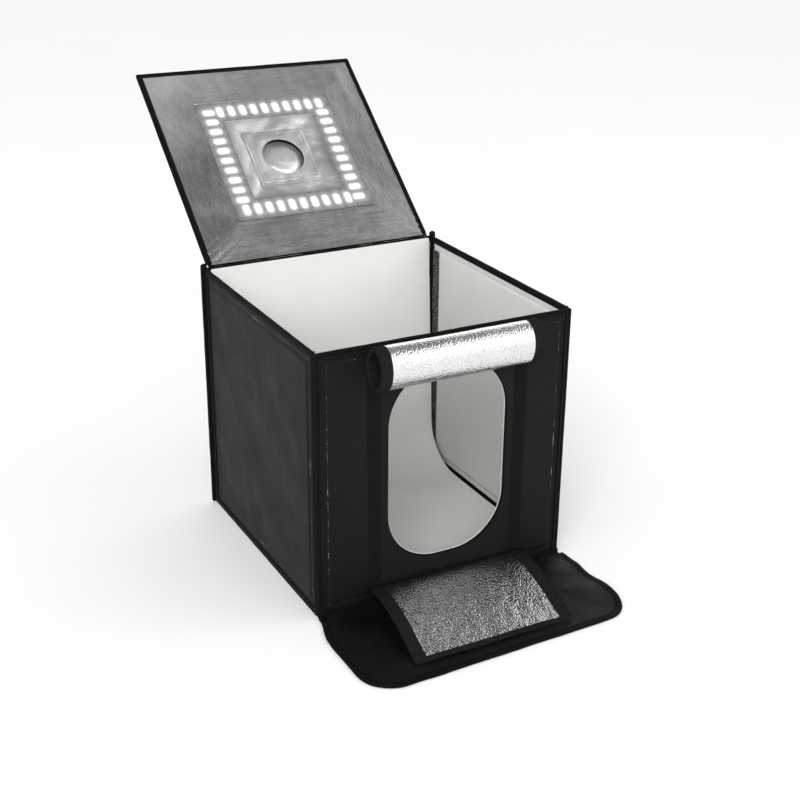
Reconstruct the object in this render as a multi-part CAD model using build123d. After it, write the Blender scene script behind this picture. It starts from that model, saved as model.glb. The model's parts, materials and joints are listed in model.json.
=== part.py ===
from build123d import *
from math import asin, cos, degrees, radians, sin
import os

# Collapsible photo tent with a ring of lights in its lid.
# Frame: origin at the centre of the box's footprint on the ground, +Z up, the front faces -Y.
# Every wall is a cloth pocket round a stiff board, edged with a binding. Its own axes are
# u across, v up from its hinge or the ground, and t outwards from its inner face.

os.makedirs("parts", exist_ok=True)

# --- the box -------------------------------------------------------------------------------
box_width = 400.0  # over the two side walls
box_depth = 400.0  # front wall's face to the back wall's inner face
box_height = 398.0  # ground to the walls' top edges
seam_gap = 0.6  # between one wall and the next
fit_gap = 0.3  # between two pieces that lie on each other

# --- how a wall is made --------------------------------------------------------------------
wall_thickness = 6.0  # over the binding
binding_width = 10.0
cloth = 0.8
board_thickness = 3.0
board_margin = 11.0  # the board's edge from the binding, where the two cloths are sewn together
tape = 0.7  # hook and loop tape, one half
tape_width = 20.0

# --- back wall -----------------------------------------------------------------------------
back_overhang = 4.5  # past the side walls, on each side
ear_height = 7.0  # the side bindings' rounded ends above the wall

# --- front wall's window -------------------------------------------------------------------
window_width = 187.0
window_bottom = 57.0  # above the ground
window_top_margin = 49.0  # below the wall's top edge
window_radius = 80.0
window_offset = 3.0  # towards +X
window_edging = 4.0  # width of the stitched edging round the window
strip_gap = 8.5  # between the window's edging and the loop strip on each side
strip_bottom = 36.0  # above the ground
strip_top_margin = 14.0  # below the wall's top edge

# --- lid -----------------------------------------------------------------------------------
lid_side_gap = 1.5  # to each side wall when closed
lid_front_gap = 16.3  # to the front wall when closed
lid_open = 140.8  # degrees from closed, at rest
lid_open_most = 225.0  # degrees from closed, at its stop
lid_gap = 0.3  # hinge axis from the back wall, outwards and upwards
lid_start = 0.4  # the lining starts this far from the hinge axis
lid_tape_start = 1.6  # and the hinge tape
lid_seam = 9.0  # and the board and binding

# --- lights --------------------------------------------------------------------------------
ring_shift = 4.0  # ring's centre from the lid's middle, towards the hinge
row_offset = 98.5  # each row of lights from the ring's centre
lights_per_row = 10
light_length = 12.0
light_width = 6.0
light_height = 1.2
strip_board_width = 30.0
strip_board_thickness = 1.2
film_outer = 118.0  # half the ring's outside
film_inner = 79.0  # half the ring's inside
film_thickness = 0.6
lead_width = 4.0
lead_thickness = 1.8

# --- port in the lid -----------------------------------------------------------------------
port_radius = 35.0
port_edging = 1.6  # width of the edging round the port
patch_size = 110.0
port_flap_size = 100.0
port_flap_cloth = 1.2
port_tape_width = 12.0
port_hinge_margin = 1.0  # hinge axis past the flap's edge
port_hinge_rise = 0.1  # and past the flap's outer face
port_hinge_overlap = 0.2  # the hinge tape starts this far before the axis

# --- power inlet ---------------------------------------------------------------------------
jack_size = 11.0
jack_length = 16.0
jack_bore = 5.7  # diameter
jack_depth = 9.5
jack_pin = 2.1  # diameter
jack_pin_recess = 1.0  # the pin's tip behind the socket's mouth
jack_from_hinge = 24.0

# --- backdrop ------------------------------------------------------------------------------
backdrop_side_gap = 4.0  # to each side wall
backdrop_sheet = 0.8
backdrop_bend = 75.0  # radius at the foot of the back wall
backdrop_foot = 24.0  # the hanging part's line meets the floor this far in front of the wall's tape
backdrop_front_gap = 2.0
backdrop_top_gap = 2.0  # its top below the walls' top edges

# --- upper flap, rolled up -----------------------------------------------------------------
roll_width = 248.0
roll_offset = -5.0
roll_depth = 50.0
roll_height = 66.0
roll_wall = 8.0  # the coiled layers together
roll_end = 16.0  # width of the black border at each end
roll_standoff = 7.0  # roll from the front wall's face
roll_axis_margin = 9.0  # hinge axis below the wall's top edge
roll_axis_gap = 1.4  # hinge axis in front of the front wall
roll_seat = 0.8  # the tab's edge from the front wall
roll_drop = 13.0  # roll's middle below its hinge axis

# --- lower flap ----------------------------------------------------------------------------
flap_width = 252.0
flap_offset = 4.0
flap_length = 168.0
flap_hinge_height = 28.0
flap_sheet = 1.0
flap_border = 1.6
flap_border_width = 20.0
flap_corner = 8.0
flap_axis_gap = 1.8  # hinge axis in front of the front wall

# --- apron ---------------------------------------------------------------------------------
apron_width = 424.0
apron_offset = -2.0
apron_reach = 193.0  # its front edge from the front wall
apron_corner = 52.0
apron_thickness = 3.0
apron_foam = 1.6
apron_cloth = 0.5
apron_binding = 12.0
apron_axis_height = 6.0
apron_axis_gap = 2.0
apron_start = 1.6  # apron's rear edge from the front wall


def write(shape, node):
    """Save one named piece."""
    export_step(shape, "parts/" + node + ".step")


def block(u, v, t):
    """A box between two values along each of a wall's own axes."""
    size = (u[1] - u[0], v[1] - v[0], t[1] - t[0])
    middle = ((u[0] + u[1]) / 2, (v[0] + v[1]) / 2, (t[0] + t[1]) / 2)
    return Pos(*middle) * Box(*size)


def joined(shapes):
    """Separate solids that share one node."""
    return Compound(children=list(shapes))


def plate(outline, t):
    """A flat sketch given thickness along t."""
    return extrude(Pos(0, 0, t[0]) * outline, t[1] - t[0])


# --- layers through a wall, from its inner face --------------------------------------------
layers = 2 * cloth + board_thickness
lining_t = ((wall_thickness - layers) / 2, (wall_thickness - layers) / 2 + cloth)
board_t = (lining_t[1], lining_t[1] + board_thickness)
skin_t = (board_t[1], board_t[1] + cloth)
binding_t = (0.0, wall_thickness)

# --- where each wall's own axes lie --------------------------------------------------------
front_face = -box_depth / 2
back_face = box_depth / 2
side_face = box_width / 2
side_front = front_face + wall_thickness + seam_gap
side_back = back_face - seam_gap
base_half_width = side_face - wall_thickness - seam_gap
back_outer = back_face + wall_thickness
hinge_y = back_outer + lid_gap
hinge_z = box_height + lid_gap
window_top = box_height - window_top_margin
strip_top = box_height - strip_top_margin
roll_axis_height = box_height - roll_axis_margin
inner_half_width = side_face - wall_thickness
lid_half = inner_half_width - lid_side_gap
lid_length = hinge_y - (front_face + wall_thickness) - lid_front_gap
ring_centre = lid_length / 2 - ring_shift
hang_half = inner_half_width - backdrop_side_gap
opened = radians(lid_open)

base_plane = Plane(origin=(0, 0, wall_thickness), x_dir=(-1, 0, 0), z_dir=(0, 0, -1))
front_plane = Plane(
    origin=(0, front_face + wall_thickness, 0), x_dir=(1, 0, 0), z_dir=(0, -1, 0)
)
left_plane = Plane(origin=(-inner_half_width, 0, 0), x_dir=(0, -1, 0), z_dir=(-1, 0, 0))
right_plane = Plane(origin=(inner_half_width, 0, 0), x_dir=(0, 1, 0), z_dir=(1, 0, 0))
back_plane = Plane(origin=(0, back_face, 0), x_dir=(-1, 0, 0), z_dir=(0, 1, 0))
lid_plane = Plane(
    origin=(0, hinge_y, hinge_z), x_dir=(-1, 0, 0), z_dir=(0, sin(opened), cos(opened))
)


def inside(span, margin=0.0):
    """The span between a wall's two bindings, less a margin at each end."""
    return (span[0] + binding_width + margin, span[1] - binding_width - margin)


def wall(name, plane, u, v, cut=None, shift=0.0):
    """Write a wall's three layers and return its four bindings.

    cut is a hole through the layers, and shift moves the layers outwards.
    """
    for node, t, margin in (
        ("skin", skin_t, 0.0),
        ("board", board_t, board_margin),
        ("lining", lining_t, 0.0),
    ):
        layer = block(inside(u, margin), inside(v, margin), (t[0] + shift, t[1] + shift))
        if cut is not None:
            layer -= cut
        write(plane * layer, name + "_" + node)
    edges = [
        block((u[0], inside(u)[0]), v, binding_t),
        block((inside(u)[1], u[1]), v, binding_t),
        block(inside(u), (v[0], inside(v)[0]), binding_t),
        block(inside(u), (inside(v)[1], v[1]), binding_t),
    ]
    return [plane * edge for edge in edges]


# --- base ----------------------------------------------------------------------------------
base_u = (-base_half_width, base_half_width)
base_v = (side_front, side_back)
to_ground = lining_t[0]  # the base's cloth lies on the ground, level with its binding
write(joined(wall("base", base_plane, base_u, base_v, shift=to_ground)), "base_binding")

# --- front wall ----------------------------------------------------------------------------
window_centre = (window_offset, (window_bottom + window_top) / 2)
window_height = window_top - window_bottom


def window_outline(grow):
    """The window's rounded outline, larger by grow all round."""
    return Pos(*window_centre, 0) * RectangleRounded(
        window_width + 2 * grow, window_height + 2 * grow, window_radius + grow
    )


front_u = (-side_face, side_face)
upright_v = (0.0, box_height)
window_cut = plate(window_outline(window_edging), (-wall_thickness, 2 * wall_thickness))
write(joined(wall("front", front_plane, front_u, upright_v, window_cut)), "front_binding")
edging = plate(window_outline(window_edging) - window_outline(0), (lining_t[0], skin_t[1]))
write(front_plane * edging, "window_edging")
strip_reach_u = window_width / 2 + window_edging + strip_gap + tape_width / 2
for side, direction in (("left", -1), ("right", 1)):
    middle = window_offset + direction * strip_reach_u
    strip_u = (middle - tape_width / 2, middle + tape_width / 2)
    strip = block(strip_u, (strip_bottom, strip_top), (skin_t[1], skin_t[1] + tape))
    write(front_plane * strip, "window_loop_strip_" + side)
corner_tape_v = (2 * binding_width, box_height - 2 * binding_width)
corner_tape_t = (lining_t[0] - tape, lining_t[0])
corner_tape_u = inside(front_u)
corner_tapes = [
    block((corner_tape_u[0], corner_tape_u[0] + tape_width), corner_tape_v, corner_tape_t),
    block((corner_tape_u[1] - tape_width, corner_tape_u[1]), corner_tape_v, corner_tape_t),
]
write(front_plane * joined(corner_tapes), "front_corner_tape")

# --- side walls ----------------------------------------------------------------------------
for side, plane, back_is_low in (("left", left_plane, True), ("right", right_plane, False)):
    u = (-side_back, -side_front) if back_is_low else (side_front, side_back)
    write(joined(wall(side, plane, u, upright_v)), side + "_binding")
    u_in = inside(u)
    rear = (u_in[0], u_in[0] + tape_width)
    front = (u_in[1] - tape_width, u_in[1])
    if not back_is_low:
        rear, front = front, rear
    for place, tape_u in (("rear", rear), ("front", front)):
        strip = block(tape_u, corner_tape_v, corner_tape_t)
        write(plane * strip, side + "_" + place + "_hook_tape")

# --- back wall -----------------------------------------------------------------------------
back_half_width = side_face + back_overhang
back_u = (-back_half_width, back_half_width)
edges = wall("back", back_plane, back_u, upright_v)
ear_radius = binding_width / 2
for n, u_middle in enumerate((back_u[0] + ear_radius, back_u[1] - ear_radius)):
    ear_v = box_height + ear_height - ear_radius
    stem = block((u_middle - ear_radius, u_middle + ear_radius), (box_height, ear_v), binding_t)
    tip = Pos(u_middle, ear_v, wall_thickness / 2) * Cylinder(ear_radius, wall_thickness)
    edges[n] = edges[n] + back_plane * (stem + tip)
write(joined(edges), "back_binding")
hang_top = box_height - backdrop_top_gap
back_tape = block((-hang_half, hang_half), (hang_top - tape_width, hang_top), (-tape, 0))
write(back_plane * back_tape, "back_loop_tape")

# --- backdrop: hangs on the back wall's tape, bends at its foot and lies along the floor ----
hang_tape_y = back_face - tape - fit_gap
hook_tape_t = (-(tape + fit_gap + tape), -(tape + fit_gap))
hook_tape = block((-hang_half, hang_half), (hang_top - tape_width, hang_top), hook_tape_t)
write(back_plane * hook_tape, "backdrop_hook_tape")
sheet_y = hang_tape_y - tape - fit_gap - backdrop_sheet / 2
floor_z = wall_thickness + backdrop_sheet / 2
backdrop_path = FilletPolyline(
    (0, sheet_y, hang_top),
    (0, sheet_y, hang_top - tape_width),
    (0, sheet_y - backdrop_foot, floor_z),
    (0, side_front + backdrop_front_gap, floor_z),
    radius=(backdrop_bend, backdrop_bend),
)
backdrop_start = Plane(origin=backdrop_path @ 0, z_dir=backdrop_path % 0, x_dir=(1, 0, 0))
backdrop = sweep(backdrop_start * Rectangle(2 * hang_half, backdrop_sheet), path=backdrop_path)
write(backdrop, "backdrop")

# --- lid -----------------------------------------------------------------------------------
port_cut = Pos(0, ring_centre, 0) * Cylinder(port_radius + port_edging, 4 * wall_thickness)
lid_u = (-lid_half + binding_width, lid_half - binding_width)
lid_lining_t = (0.0, cloth)
lid_board_t = (cloth, cloth + board_thickness)
lid_skin_t = (lid_board_t[1], lid_board_t[1] + cloth)
lid_binding_t = (-(wall_thickness - layers) / 2, layers + (wall_thickness - layers) / 2)
lid_v = (lid_seam, lid_length - binding_width)
lead_v = (jack_from_hinge + jack_length / 2, ring_centre - row_offset)
lead_t = (lid_board_t[0], lid_board_t[0] + lead_thickness)
lead_u = (-lead_width / 2, lead_width / 2)
lead_groove = block(lead_u, lead_v, lead_t)
jack_u = (-jack_size / 2, jack_size / 2)
jack_v = (jack_from_hinge - jack_length / 2, jack_from_hinge + jack_length / 2)
jack_t = (lid_board_t[0], lid_board_t[0] + jack_size)
jack_body = block(jack_u, jack_v, jack_t)
write(
    lid_plane * (block(lid_u, (lid_start, lid_v[1]), lid_lining_t) - port_cut),
    "lid_lining",
)
write(
    lid_plane * (block(lid_u, lid_v, lid_board_t) - port_cut - lead_groove - jack_body),
    "lid_board",
)
write(lid_plane * (block(lid_u, lid_v, lid_skin_t) - port_cut - jack_body), "lid_skin")
lid_edges = [
    block((-lid_half, lid_u[0]), (lid_seam, lid_length), lid_binding_t),
    block((lid_u[1], lid_half), (lid_seam, lid_length), lid_binding_t),
    block(lid_u, (lid_v[1], lid_length), lid_binding_t),
]
write(lid_plane * joined(lid_edges), "lid_binding")
hinge_tape = block((-lid_half, lid_half), (lid_tape_start, lid_seam), (cloth, 2 * cloth))
write(lid_plane * hinge_tape, "lid_hinge_tape")
patch = Pos(0, ring_centre, 0) * plate(Rectangle(patch_size, patch_size), (-cloth, 0))
write(lid_plane * (patch - port_cut), "port_patch")
port_rim = Circle(port_radius + port_edging) - Circle(port_radius)
port_rim_t = (-cloth, lid_skin_t[1])
write(lid_plane * Pos(0, ring_centre, 0) * plate(port_rim, port_rim_t), "port_edging")

# --- lights: four rows in a pinwheel, each with a light at the corner where it starts --------
light_pitch = 2 * row_offset / lights_per_row
strip_reach = (strip_board_width / 2 - row_offset, strip_board_width / 2 + row_offset)
light_board_t = (-strip_board_thickness, 0.0)
light_t = (light_board_t[0] - light_height, light_board_t[0])
light_boards = []
lights = []
for quarter in range(4):
    turned = Pos(0, ring_centre, 0) * Rot(0, 0, 90 * quarter)
    side_u = (row_offset - strip_board_width / 2, row_offset + strip_board_width / 2)
    light_boards.append(turned * block(side_u, strip_reach, light_board_t))
    for n in range(lights_per_row):
        along = row_offset - n * light_pitch
        light = block(
            (row_offset - light_length / 2, row_offset + light_length / 2),
            (along - light_width / 2, along + light_width / 2),
            light_t,
        )
        lights.append(turned * light)
write(lid_plane * joined(light_boards), "light_boards")
write(lid_plane * joined(lights), "lights")


def square_ring(outer, inner):
    """A flat square ring, given half its outside and half its inside."""
    return Rectangle(2 * outer, 2 * outer) - Rectangle(2 * inner, 2 * inner)


film_t = (light_t[0] - film_thickness, light_t[0])
film = plate(square_ring(film_outer, film_inner), film_t)
write(lid_plane * Pos(0, ring_centre, 0) * film, "diffuser_film")

# --- power inlet and its lead inside the lid -----------------------------------------------
write(lid_plane * lead_groove, "light_lead")
socket_t = (jack_t[0] + jack_t[1]) / 2
socket_mouth = Pos(0, jack_v[0], socket_t) * Rot(90, 0, 0)
socket = socket_mouth * Cylinder(jack_bore / 2, 2 * jack_depth)
write(lid_plane * (jack_body - socket), "power_jack")
pin_length = jack_depth - jack_pin_recess
pin_middle = jack_v[0] + jack_depth - pin_length / 2
pin = Pos(0, pin_middle, socket_t) * Rot(90, 0, 0) * Cylinder(jack_pin / 2, pin_length)
write(lid_plane * pin, "jack_pin")

# --- port flap on the lid's outside, hinged on the side away from the lid's hinge ------------
port_half = port_flap_size / 2
port_loop_t = (lid_skin_t[1], lid_skin_t[1] + tape)
port_hook_t = (port_loop_t[1] + fit_gap, port_loop_t[1] + fit_gap + tape)
port_flap_t = (port_hook_t[1], port_hook_t[1] + port_flap_cloth)
port_axis_v = ring_centre + port_half + port_hinge_margin
port_axis_t = port_flap_t[1] + port_hinge_rise
port_place = Pos(0, ring_centre, 0)


def port_tapes(t):
    """Three strips round the port, open on the hinge's side."""
    low = -port_half
    side_v = (low + port_tape_width, port_half)
    return [
        port_place * block((-port_half, port_half), (low, low + port_tape_width), t),
        port_place * block((-port_half, port_tape_width - port_half), side_v, t),
        port_place * block((port_half - port_tape_width, port_half), side_v, t),
    ]


write(lid_plane * joined(port_tapes(port_loop_t)), "port_loop_tape")
write(lid_plane * joined(port_tapes(port_hook_t)), "port_flap_hook_tape")
port_flap = port_place * plate(Rectangle(port_flap_size, port_flap_size), port_flap_t)
write(lid_plane * port_flap, "port_flap")
port_hinge = block(
    (-port_half, port_half),
    (port_axis_v - port_hinge_overlap, port_axis_v + port_tape_width),
    (lid_skin_t[1], port_flap_t[0]),
)
write(lid_plane * port_hinge, "port_flap_hinge_tape")

# --- upper flap, rolled up above the window -------------------------------------------------
roll_y = front_face - roll_standoff - roll_depth / 2
roll_z = roll_axis_height - roll_drop
roll_place = Plane(origin=(roll_offset, roll_y, roll_z), x_dir=(0, 1, 0), z_dir=(1, 0, 0))
roll_section = Ellipse(roll_depth / 2, roll_height / 2)
roll_section -= Ellipse(roll_depth / 2 - roll_wall, roll_height / 2 - roll_wall)
silver_half = roll_width / 2 - roll_end
write(roll_place * plate(roll_section, (-silver_half, silver_half)), "upper_flap_roll")
for side, ends in (
    ("left", (-roll_width / 2, -silver_half)),
    ("right", (silver_half, roll_width / 2)),
):
    write(roll_place * plate(roll_section, ends), "roll_border_" + side)
roll_half = roll_width / 2
roll_x = (roll_offset - roll_half, roll_offset + roll_half)
tab_z = (roll_axis_height - flap_border, roll_axis_height)
tab_y = (roll_y + roll_depth / 4, front_face - roll_seat)
tab = block(roll_x, tab_y, tab_z)
solid_roll = roll_place * plate(Ellipse(roll_depth / 2, roll_height / 2), (-roll_half, roll_half))
write(tab - solid_roll, "upper_flap_tab")

# --- lower flap, hinged under the window ---------------------------------------------------
flap_axis_y = front_face - flap_axis_gap
flap_drop = flap_hinge_height - apron_thickness - flap_border / 2 - fit_gap
flap_slope = asin(flap_drop / flap_length)
flap_plane = Plane(
    origin=(flap_offset, flap_axis_y, flap_hinge_height),
    x_dir=(1, 0, 0),
    z_dir=(0, -sin(flap_slope), cos(flap_slope)),
)
flap_half = flap_width / 2
flap_outline = Pos(0, -flap_length / 2, 0) * RectangleRounded(flap_width, flap_length, flap_corner)
flap_outline += Pos(0, -flap_corner, 0) * Rectangle(flap_width, 2 * flap_corner)
flap_centre_half = flap_half - flap_border_width
centre_outline = Pos(0, -(flap_length - flap_border_width) / 2, 0) * Rectangle(
    2 * flap_centre_half, flap_length - flap_border_width
)
flap_t = (-flap_border / 2, flap_border / 2)
flap_border_shape = plate(flap_outline - centre_outline, flap_t)
write(flap_plane * flap_border_shape, "lower_flap_border")
flap_sheet_t = (-flap_sheet / 2, flap_sheet / 2)
write(flap_plane * plate(centre_outline, flap_sheet_t), "lower_flap")
seam_x = (flap_offset - flap_half, flap_offset + flap_half)
seam_tape_y = (front_face - tape, front_face)
flap_seam_z = (flap_hinge_height - binding_width / 2, flap_hinge_height + binding_width / 2)
skin_face_y = front_face + wall_thickness - skin_t[1]
flap_seam = block(seam_x, (seam_tape_y[0], skin_face_y), flap_seam_z)

# --- apron in front of the box, lying on the ground ----------------------------------------
apron_half = apron_width / 2
apron_front = front_face - apron_reach
apron_rear = front_face - apron_start
apron_depth = apron_rear - apron_front


def apron_outline(inset):
    """The apron's outline with its two front corners rounded, smaller by inset except at the rear."""
    half = apron_half - inset
    front = apron_front + inset
    length = apron_rear - front
    radius = apron_corner - inset
    shape = Pos(apron_offset, front + length / 2, 0) * RectangleRounded(2 * half, length, radius)
    square = Pos(apron_offset, apron_rear - length / 4, 0) * Rectangle(2 * half, length / 2)
    return shape + square


apron_inner = apron_outline(apron_binding)
apron_border = apron_outline(0) - apron_inner
write(plate(apron_border, (0, apron_thickness)), "apron_binding")
underside = (apron_thickness - 2 * apron_cloth - apron_foam) / 2
apron_level = underside
for node, thickness in (("skin", apron_cloth), ("foam", apron_foam), ("lining", apron_cloth)):
    write(plate(apron_inner, (apron_level, apron_level + thickness)), "apron_" + node)
    apron_level += thickness
apron_seam_x = (apron_offset - apron_half, apron_offset + apron_half)
apron_seam_x = (max(apron_seam_x[0], -side_face), min(apron_seam_x[1], side_face))
apron_seam = block(apron_seam_x, seam_tape_y, (tape, 2 * apron_axis_height))
write(joined([flap_seam, apron_seam]), "front_hinge_tapes")

# --- hinge axes, for the record ------------------------------------------------------------
port_axis = lid_plane * Pos(0, port_axis_v, port_axis_t)
print("lid hinge", hinge_y, hinge_z, "range", lid_open - lid_open_most, lid_open)
print("port flap hinge", port_axis.position)
print("roll hinge", front_face - roll_axis_gap, roll_axis_height)
print("lower flap hinge", flap_axis_y, flap_hinge_height, "range", 90 + degrees(flap_slope))
print("apron hinge", front_face - apron_axis_gap, apron_axis_height)
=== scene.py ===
import json
from math import cos, pi, radians, sin

import bpy
import bmesh
import numpy as np
from mathutils import Matrix, Vector, geometry


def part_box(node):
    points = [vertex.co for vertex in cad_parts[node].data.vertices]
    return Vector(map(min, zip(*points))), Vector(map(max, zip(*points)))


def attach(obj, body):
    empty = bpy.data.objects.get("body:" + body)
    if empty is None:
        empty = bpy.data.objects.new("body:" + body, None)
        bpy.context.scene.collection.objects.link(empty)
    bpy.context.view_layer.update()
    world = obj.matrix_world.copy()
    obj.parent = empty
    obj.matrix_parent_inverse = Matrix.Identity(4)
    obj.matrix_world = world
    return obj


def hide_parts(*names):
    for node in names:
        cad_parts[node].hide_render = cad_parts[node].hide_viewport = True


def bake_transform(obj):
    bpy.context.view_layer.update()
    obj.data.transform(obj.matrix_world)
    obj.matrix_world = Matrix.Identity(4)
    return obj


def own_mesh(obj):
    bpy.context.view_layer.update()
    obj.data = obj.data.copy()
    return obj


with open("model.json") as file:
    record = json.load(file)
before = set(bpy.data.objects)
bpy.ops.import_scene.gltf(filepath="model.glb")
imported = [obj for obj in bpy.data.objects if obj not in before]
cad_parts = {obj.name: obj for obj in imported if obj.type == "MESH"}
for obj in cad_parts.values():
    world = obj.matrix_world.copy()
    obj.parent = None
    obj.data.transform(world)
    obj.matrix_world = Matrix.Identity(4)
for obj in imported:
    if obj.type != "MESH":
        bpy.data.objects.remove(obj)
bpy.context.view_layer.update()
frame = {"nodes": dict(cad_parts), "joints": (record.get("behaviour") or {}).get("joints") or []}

bl_info = {
    "name": "Photo tent",
    "version": (1, 0, 0),
    "blender": (4, 5, 0),
    "location": "View3D > Sidebar > Photo tent",
    "description": "Cloth, trim and lights of a collapsible photo tent on its fixed frame",
    "category": "Object",
}

MM = 0.001
joints = {joint["name"]: joint for joint in frame["joints"]}
rng = np.random.default_rng


# ------------------------------------------------------------------ places on the frame

class Place:
    """A flat piece's own axes: u across, v up or away from its hinge, t out of its inner face."""

    def __init__(self, origin, u, v, t, size):
        self.origin, self.u, self.v, self.t = (np.array(x, float) for x in (origin, u, v, t))
        self.width, self.height = size

    def __call__(self, u, v, t):
        u, v, t = np.broadcast_arrays(u, v, t)
        return self.origin + u[..., None] * self.u + v[..., None] * self.v + t[..., None] * self.t


class CurvedPlace:
    """A sheet bent in one direction: u runs along X, v along a curve in Y and Z, t off its face."""

    def __init__(self, curve, skew=0.0, lift=None):
        self.curve = np.array(curve, float)
        steps = np.linalg.norm(np.diff(self.curve, axis=0), axis=1)
        self.along = np.concatenate([[0.0], np.cumsum(steps)])
        self.length = self.along[-1]
        self.skew, self.lift = skew, lift
        slope = np.gradient(self.curve, self.along, axis=0)
        slope /= np.linalg.norm(slope, axis=1)[:, None]
        self.normal = np.stack([slope[:, 1], -slope[:, 0]], axis=1)

    def __call__(self, u, v, t):
        u, v, t = np.broadcast_arrays(u, v, t)
        y = np.interp(v, self.along, self.curve[:, 0]) + t * np.interp(v, self.along, self.normal[:, 0])
        z = np.interp(v, self.along, self.curve[:, 1]) + t * np.interp(v, self.along, self.normal[:, 1])
        if self.lift is not None:
            z = z + self.lift(u, v)
        return np.stack([u + self.skew * v, y, z], axis=-1)


WALL_AXES = {
    "left": ((0, 1, 0), (0, 0, 1), (-1, 0, 0)),
    "right": ((0, 1, 0), (0, 0, 1), (1, 0, 0)),
    "back": ((1, 0, 0), (0, 0, 1), (0, 1, 0)),
    "front": ((1, 0, 0), (0, 0, 1), (0, -1, 0)),
    "base": ((1, 0, 0), (0, 1, 0), (0, 0, -1)),
}
WALL_BODY = {"left": "left_wall", "right": "right_wall", "back": "back_wall", "front": "base", "base": "base"}
wall_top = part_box("left_binding")[1].z


def wall_place(name):
    """A wall's own axes, with its origin at the low corner of its inner face."""
    low, high = (np.array(c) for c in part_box(name + "_binding"))
    high[2] = min(high[2], wall_top)
    u, v, t = (np.array(a, float) for a in WALL_AXES[name])
    origin = np.where(t > 0, low, np.where(t < 0, high, low))
    origin = np.where(t == 0, low, origin)
    return Place(origin, u, v, t, ((high - low) @ u, (high - low) @ v))


def corners_of(node):
    """The places of a node's vertices."""
    vertices = frame["nodes"][node].data.vertices
    places = np.zeros(3 * len(vertices))
    vertices.foreach_get("co", places)
    return places.reshape(-1, 3)


lid_hinge = joints["lid_hinge"]
lid_angle = radians(lid_hinge["range_deg"][1])
lid_axis = np.array(lid_hinge["pos_m"], float)
lid_v = np.array((0, -cos(lid_angle), sin(lid_angle)))
lid_t = np.array((0, sin(lid_angle), cos(lid_angle)))
lid_length = float(((corners_of("lid_binding") - lid_axis) @ lid_v).max())
lid_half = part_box("lid_binding")[1].x
lid_place = Place(lid_axis, (1, 0, 0), lid_v, lid_t, (2 * lid_half, lid_length))


def lid_span(node, direction):
    """A lid node's extent along one of the lid's own axes, from the hinge's axis."""
    reach = (corners_of(node) - lid_axis) @ direction
    return float(reach.min()), float(reach.max())


film_v = lid_span("diffuser_film", lid_v)
film_t = lid_span("diffuser_film", lid_t)
ring_v = (film_v[0] + film_v[1]) / 2
film_half = (film_v[1] - film_v[0]) / 2
ring_middle = lid_axis + ring_v * lid_v


# ------------------------------------------------------------------------ mesh helpers

SHARP_ANGLE = radians(40)


def made(name, points, faces, looks, body=None, sides=None):
    """A new object from points and faces, with clean outward normals and the finishes named in looks."""
    mesh = bpy.data.meshes.new(name)
    mesh.from_pydata(np.asarray(points, float).tolist(), [], faces)
    for look in looks:
        mesh.materials.append(finish(look))
    if sides is not None:
        mesh.polygons.foreach_set("material_index", np.asarray(sides, np.int32))
    shape = bmesh.new()
    shape.from_mesh(mesh)
    bmesh.ops.recalc_face_normals(shape, faces=shape.faces)
    shape.to_mesh(mesh)
    shape.free()
    mesh.shade_smooth()
    mesh.set_sharp_from_angle(angle=SHARP_ANGLE)
    piece = bpy.data.objects.new(name, mesh)
    bpy.context.scene.collection.objects.link(piece)
    if body is not None:
        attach(piece, body)
    return piece


def waves(a, b, seed, longest, shortest, count=12, lean=0.0, spread=pi):
    """A smooth random field, about -1 to 1, made of plane waves that lean round one direction."""
    draw = rng(seed)
    lengths = np.geomspace(longest, shortest, count)
    angles = lean + spread * (draw.random(count) - 0.5)
    phases = 2 * pi * draw.random(count)
    total = np.zeros(np.broadcast(a, b).shape)
    for length, angle, phase in zip(lengths, angles, phases):
        total += length * np.cos(2 * pi * (a * cos(angle) + b * sin(angle)) / length + phase)
    return total / np.sqrt((lengths ** 2).sum() / 2) / 1.6


def smooth_step(x, low, high):
    x = np.clip((x - low) / (high - low), 0, 1)
    return x * x * (3 - 2 * x)


def edge_line(corners, inset, radius, step, turn=6, closed=True):
    """Points along a right-angled outline, inset to its left, with its corners rounded."""
    corners = np.array(corners, float)
    count = len(corners)
    nexts = np.roll(corners, -1, axis=0)
    ways = nexts - corners
    lengths = np.linalg.norm(ways, axis=1)
    ways = ways / lengths[:, None]
    lefts = np.stack([-ways[:, 1], ways[:, 0]], axis=1)
    round_by = max(radius - inset, 0.15 * MM)
    starts, ends, arcs = {}, {}, {}
    for n in range(count):
        if not closed and n in (0, count - 1):
            side = lefts[0] if n == 0 else lefts[count - 2]
            starts[n] = ends[n] = corners[n] + inset * side
            continue
        before, after = lefts[n - 1], lefts[n]
        centre = corners[n] + (inset + round_by) * (before + after)
        angles = np.linspace(0, pi / 2, turn + 1)
        arc = [centre - round_by * (before * cos(a) + after * sin(a)) for a in angles]
        ends[n], starts[n], arcs[n] = arc[0], arc[-1], arc
    line = []
    for n in range(count if closed else count - 1):
        if n in arcs:
            line += arcs[n][:-1]
        pieces = max(2, int(lengths[n] / step))
        for part in range(pieces):
            line.append(starts[n] + (ends[(n + 1) % count] - starts[n]) * part / pieces)
    if not closed:
        line.append(starts[count - 1])
    return np.array(line)


def rectangle(u0, u1, v0, v1):
    """A rectangle's corners, anticlockwise."""
    return [(u0, v0), (u1, v0), (u1, v1), (u0, v1)]


def circle(centre, radius, step):
    count = int(2 * pi * radius / step)
    angles = np.arange(count) * 2 * pi / count
    return np.stack([centre[0] + radius * np.cos(angles), centre[1] + radius * np.sin(angles)], axis=1)


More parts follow.
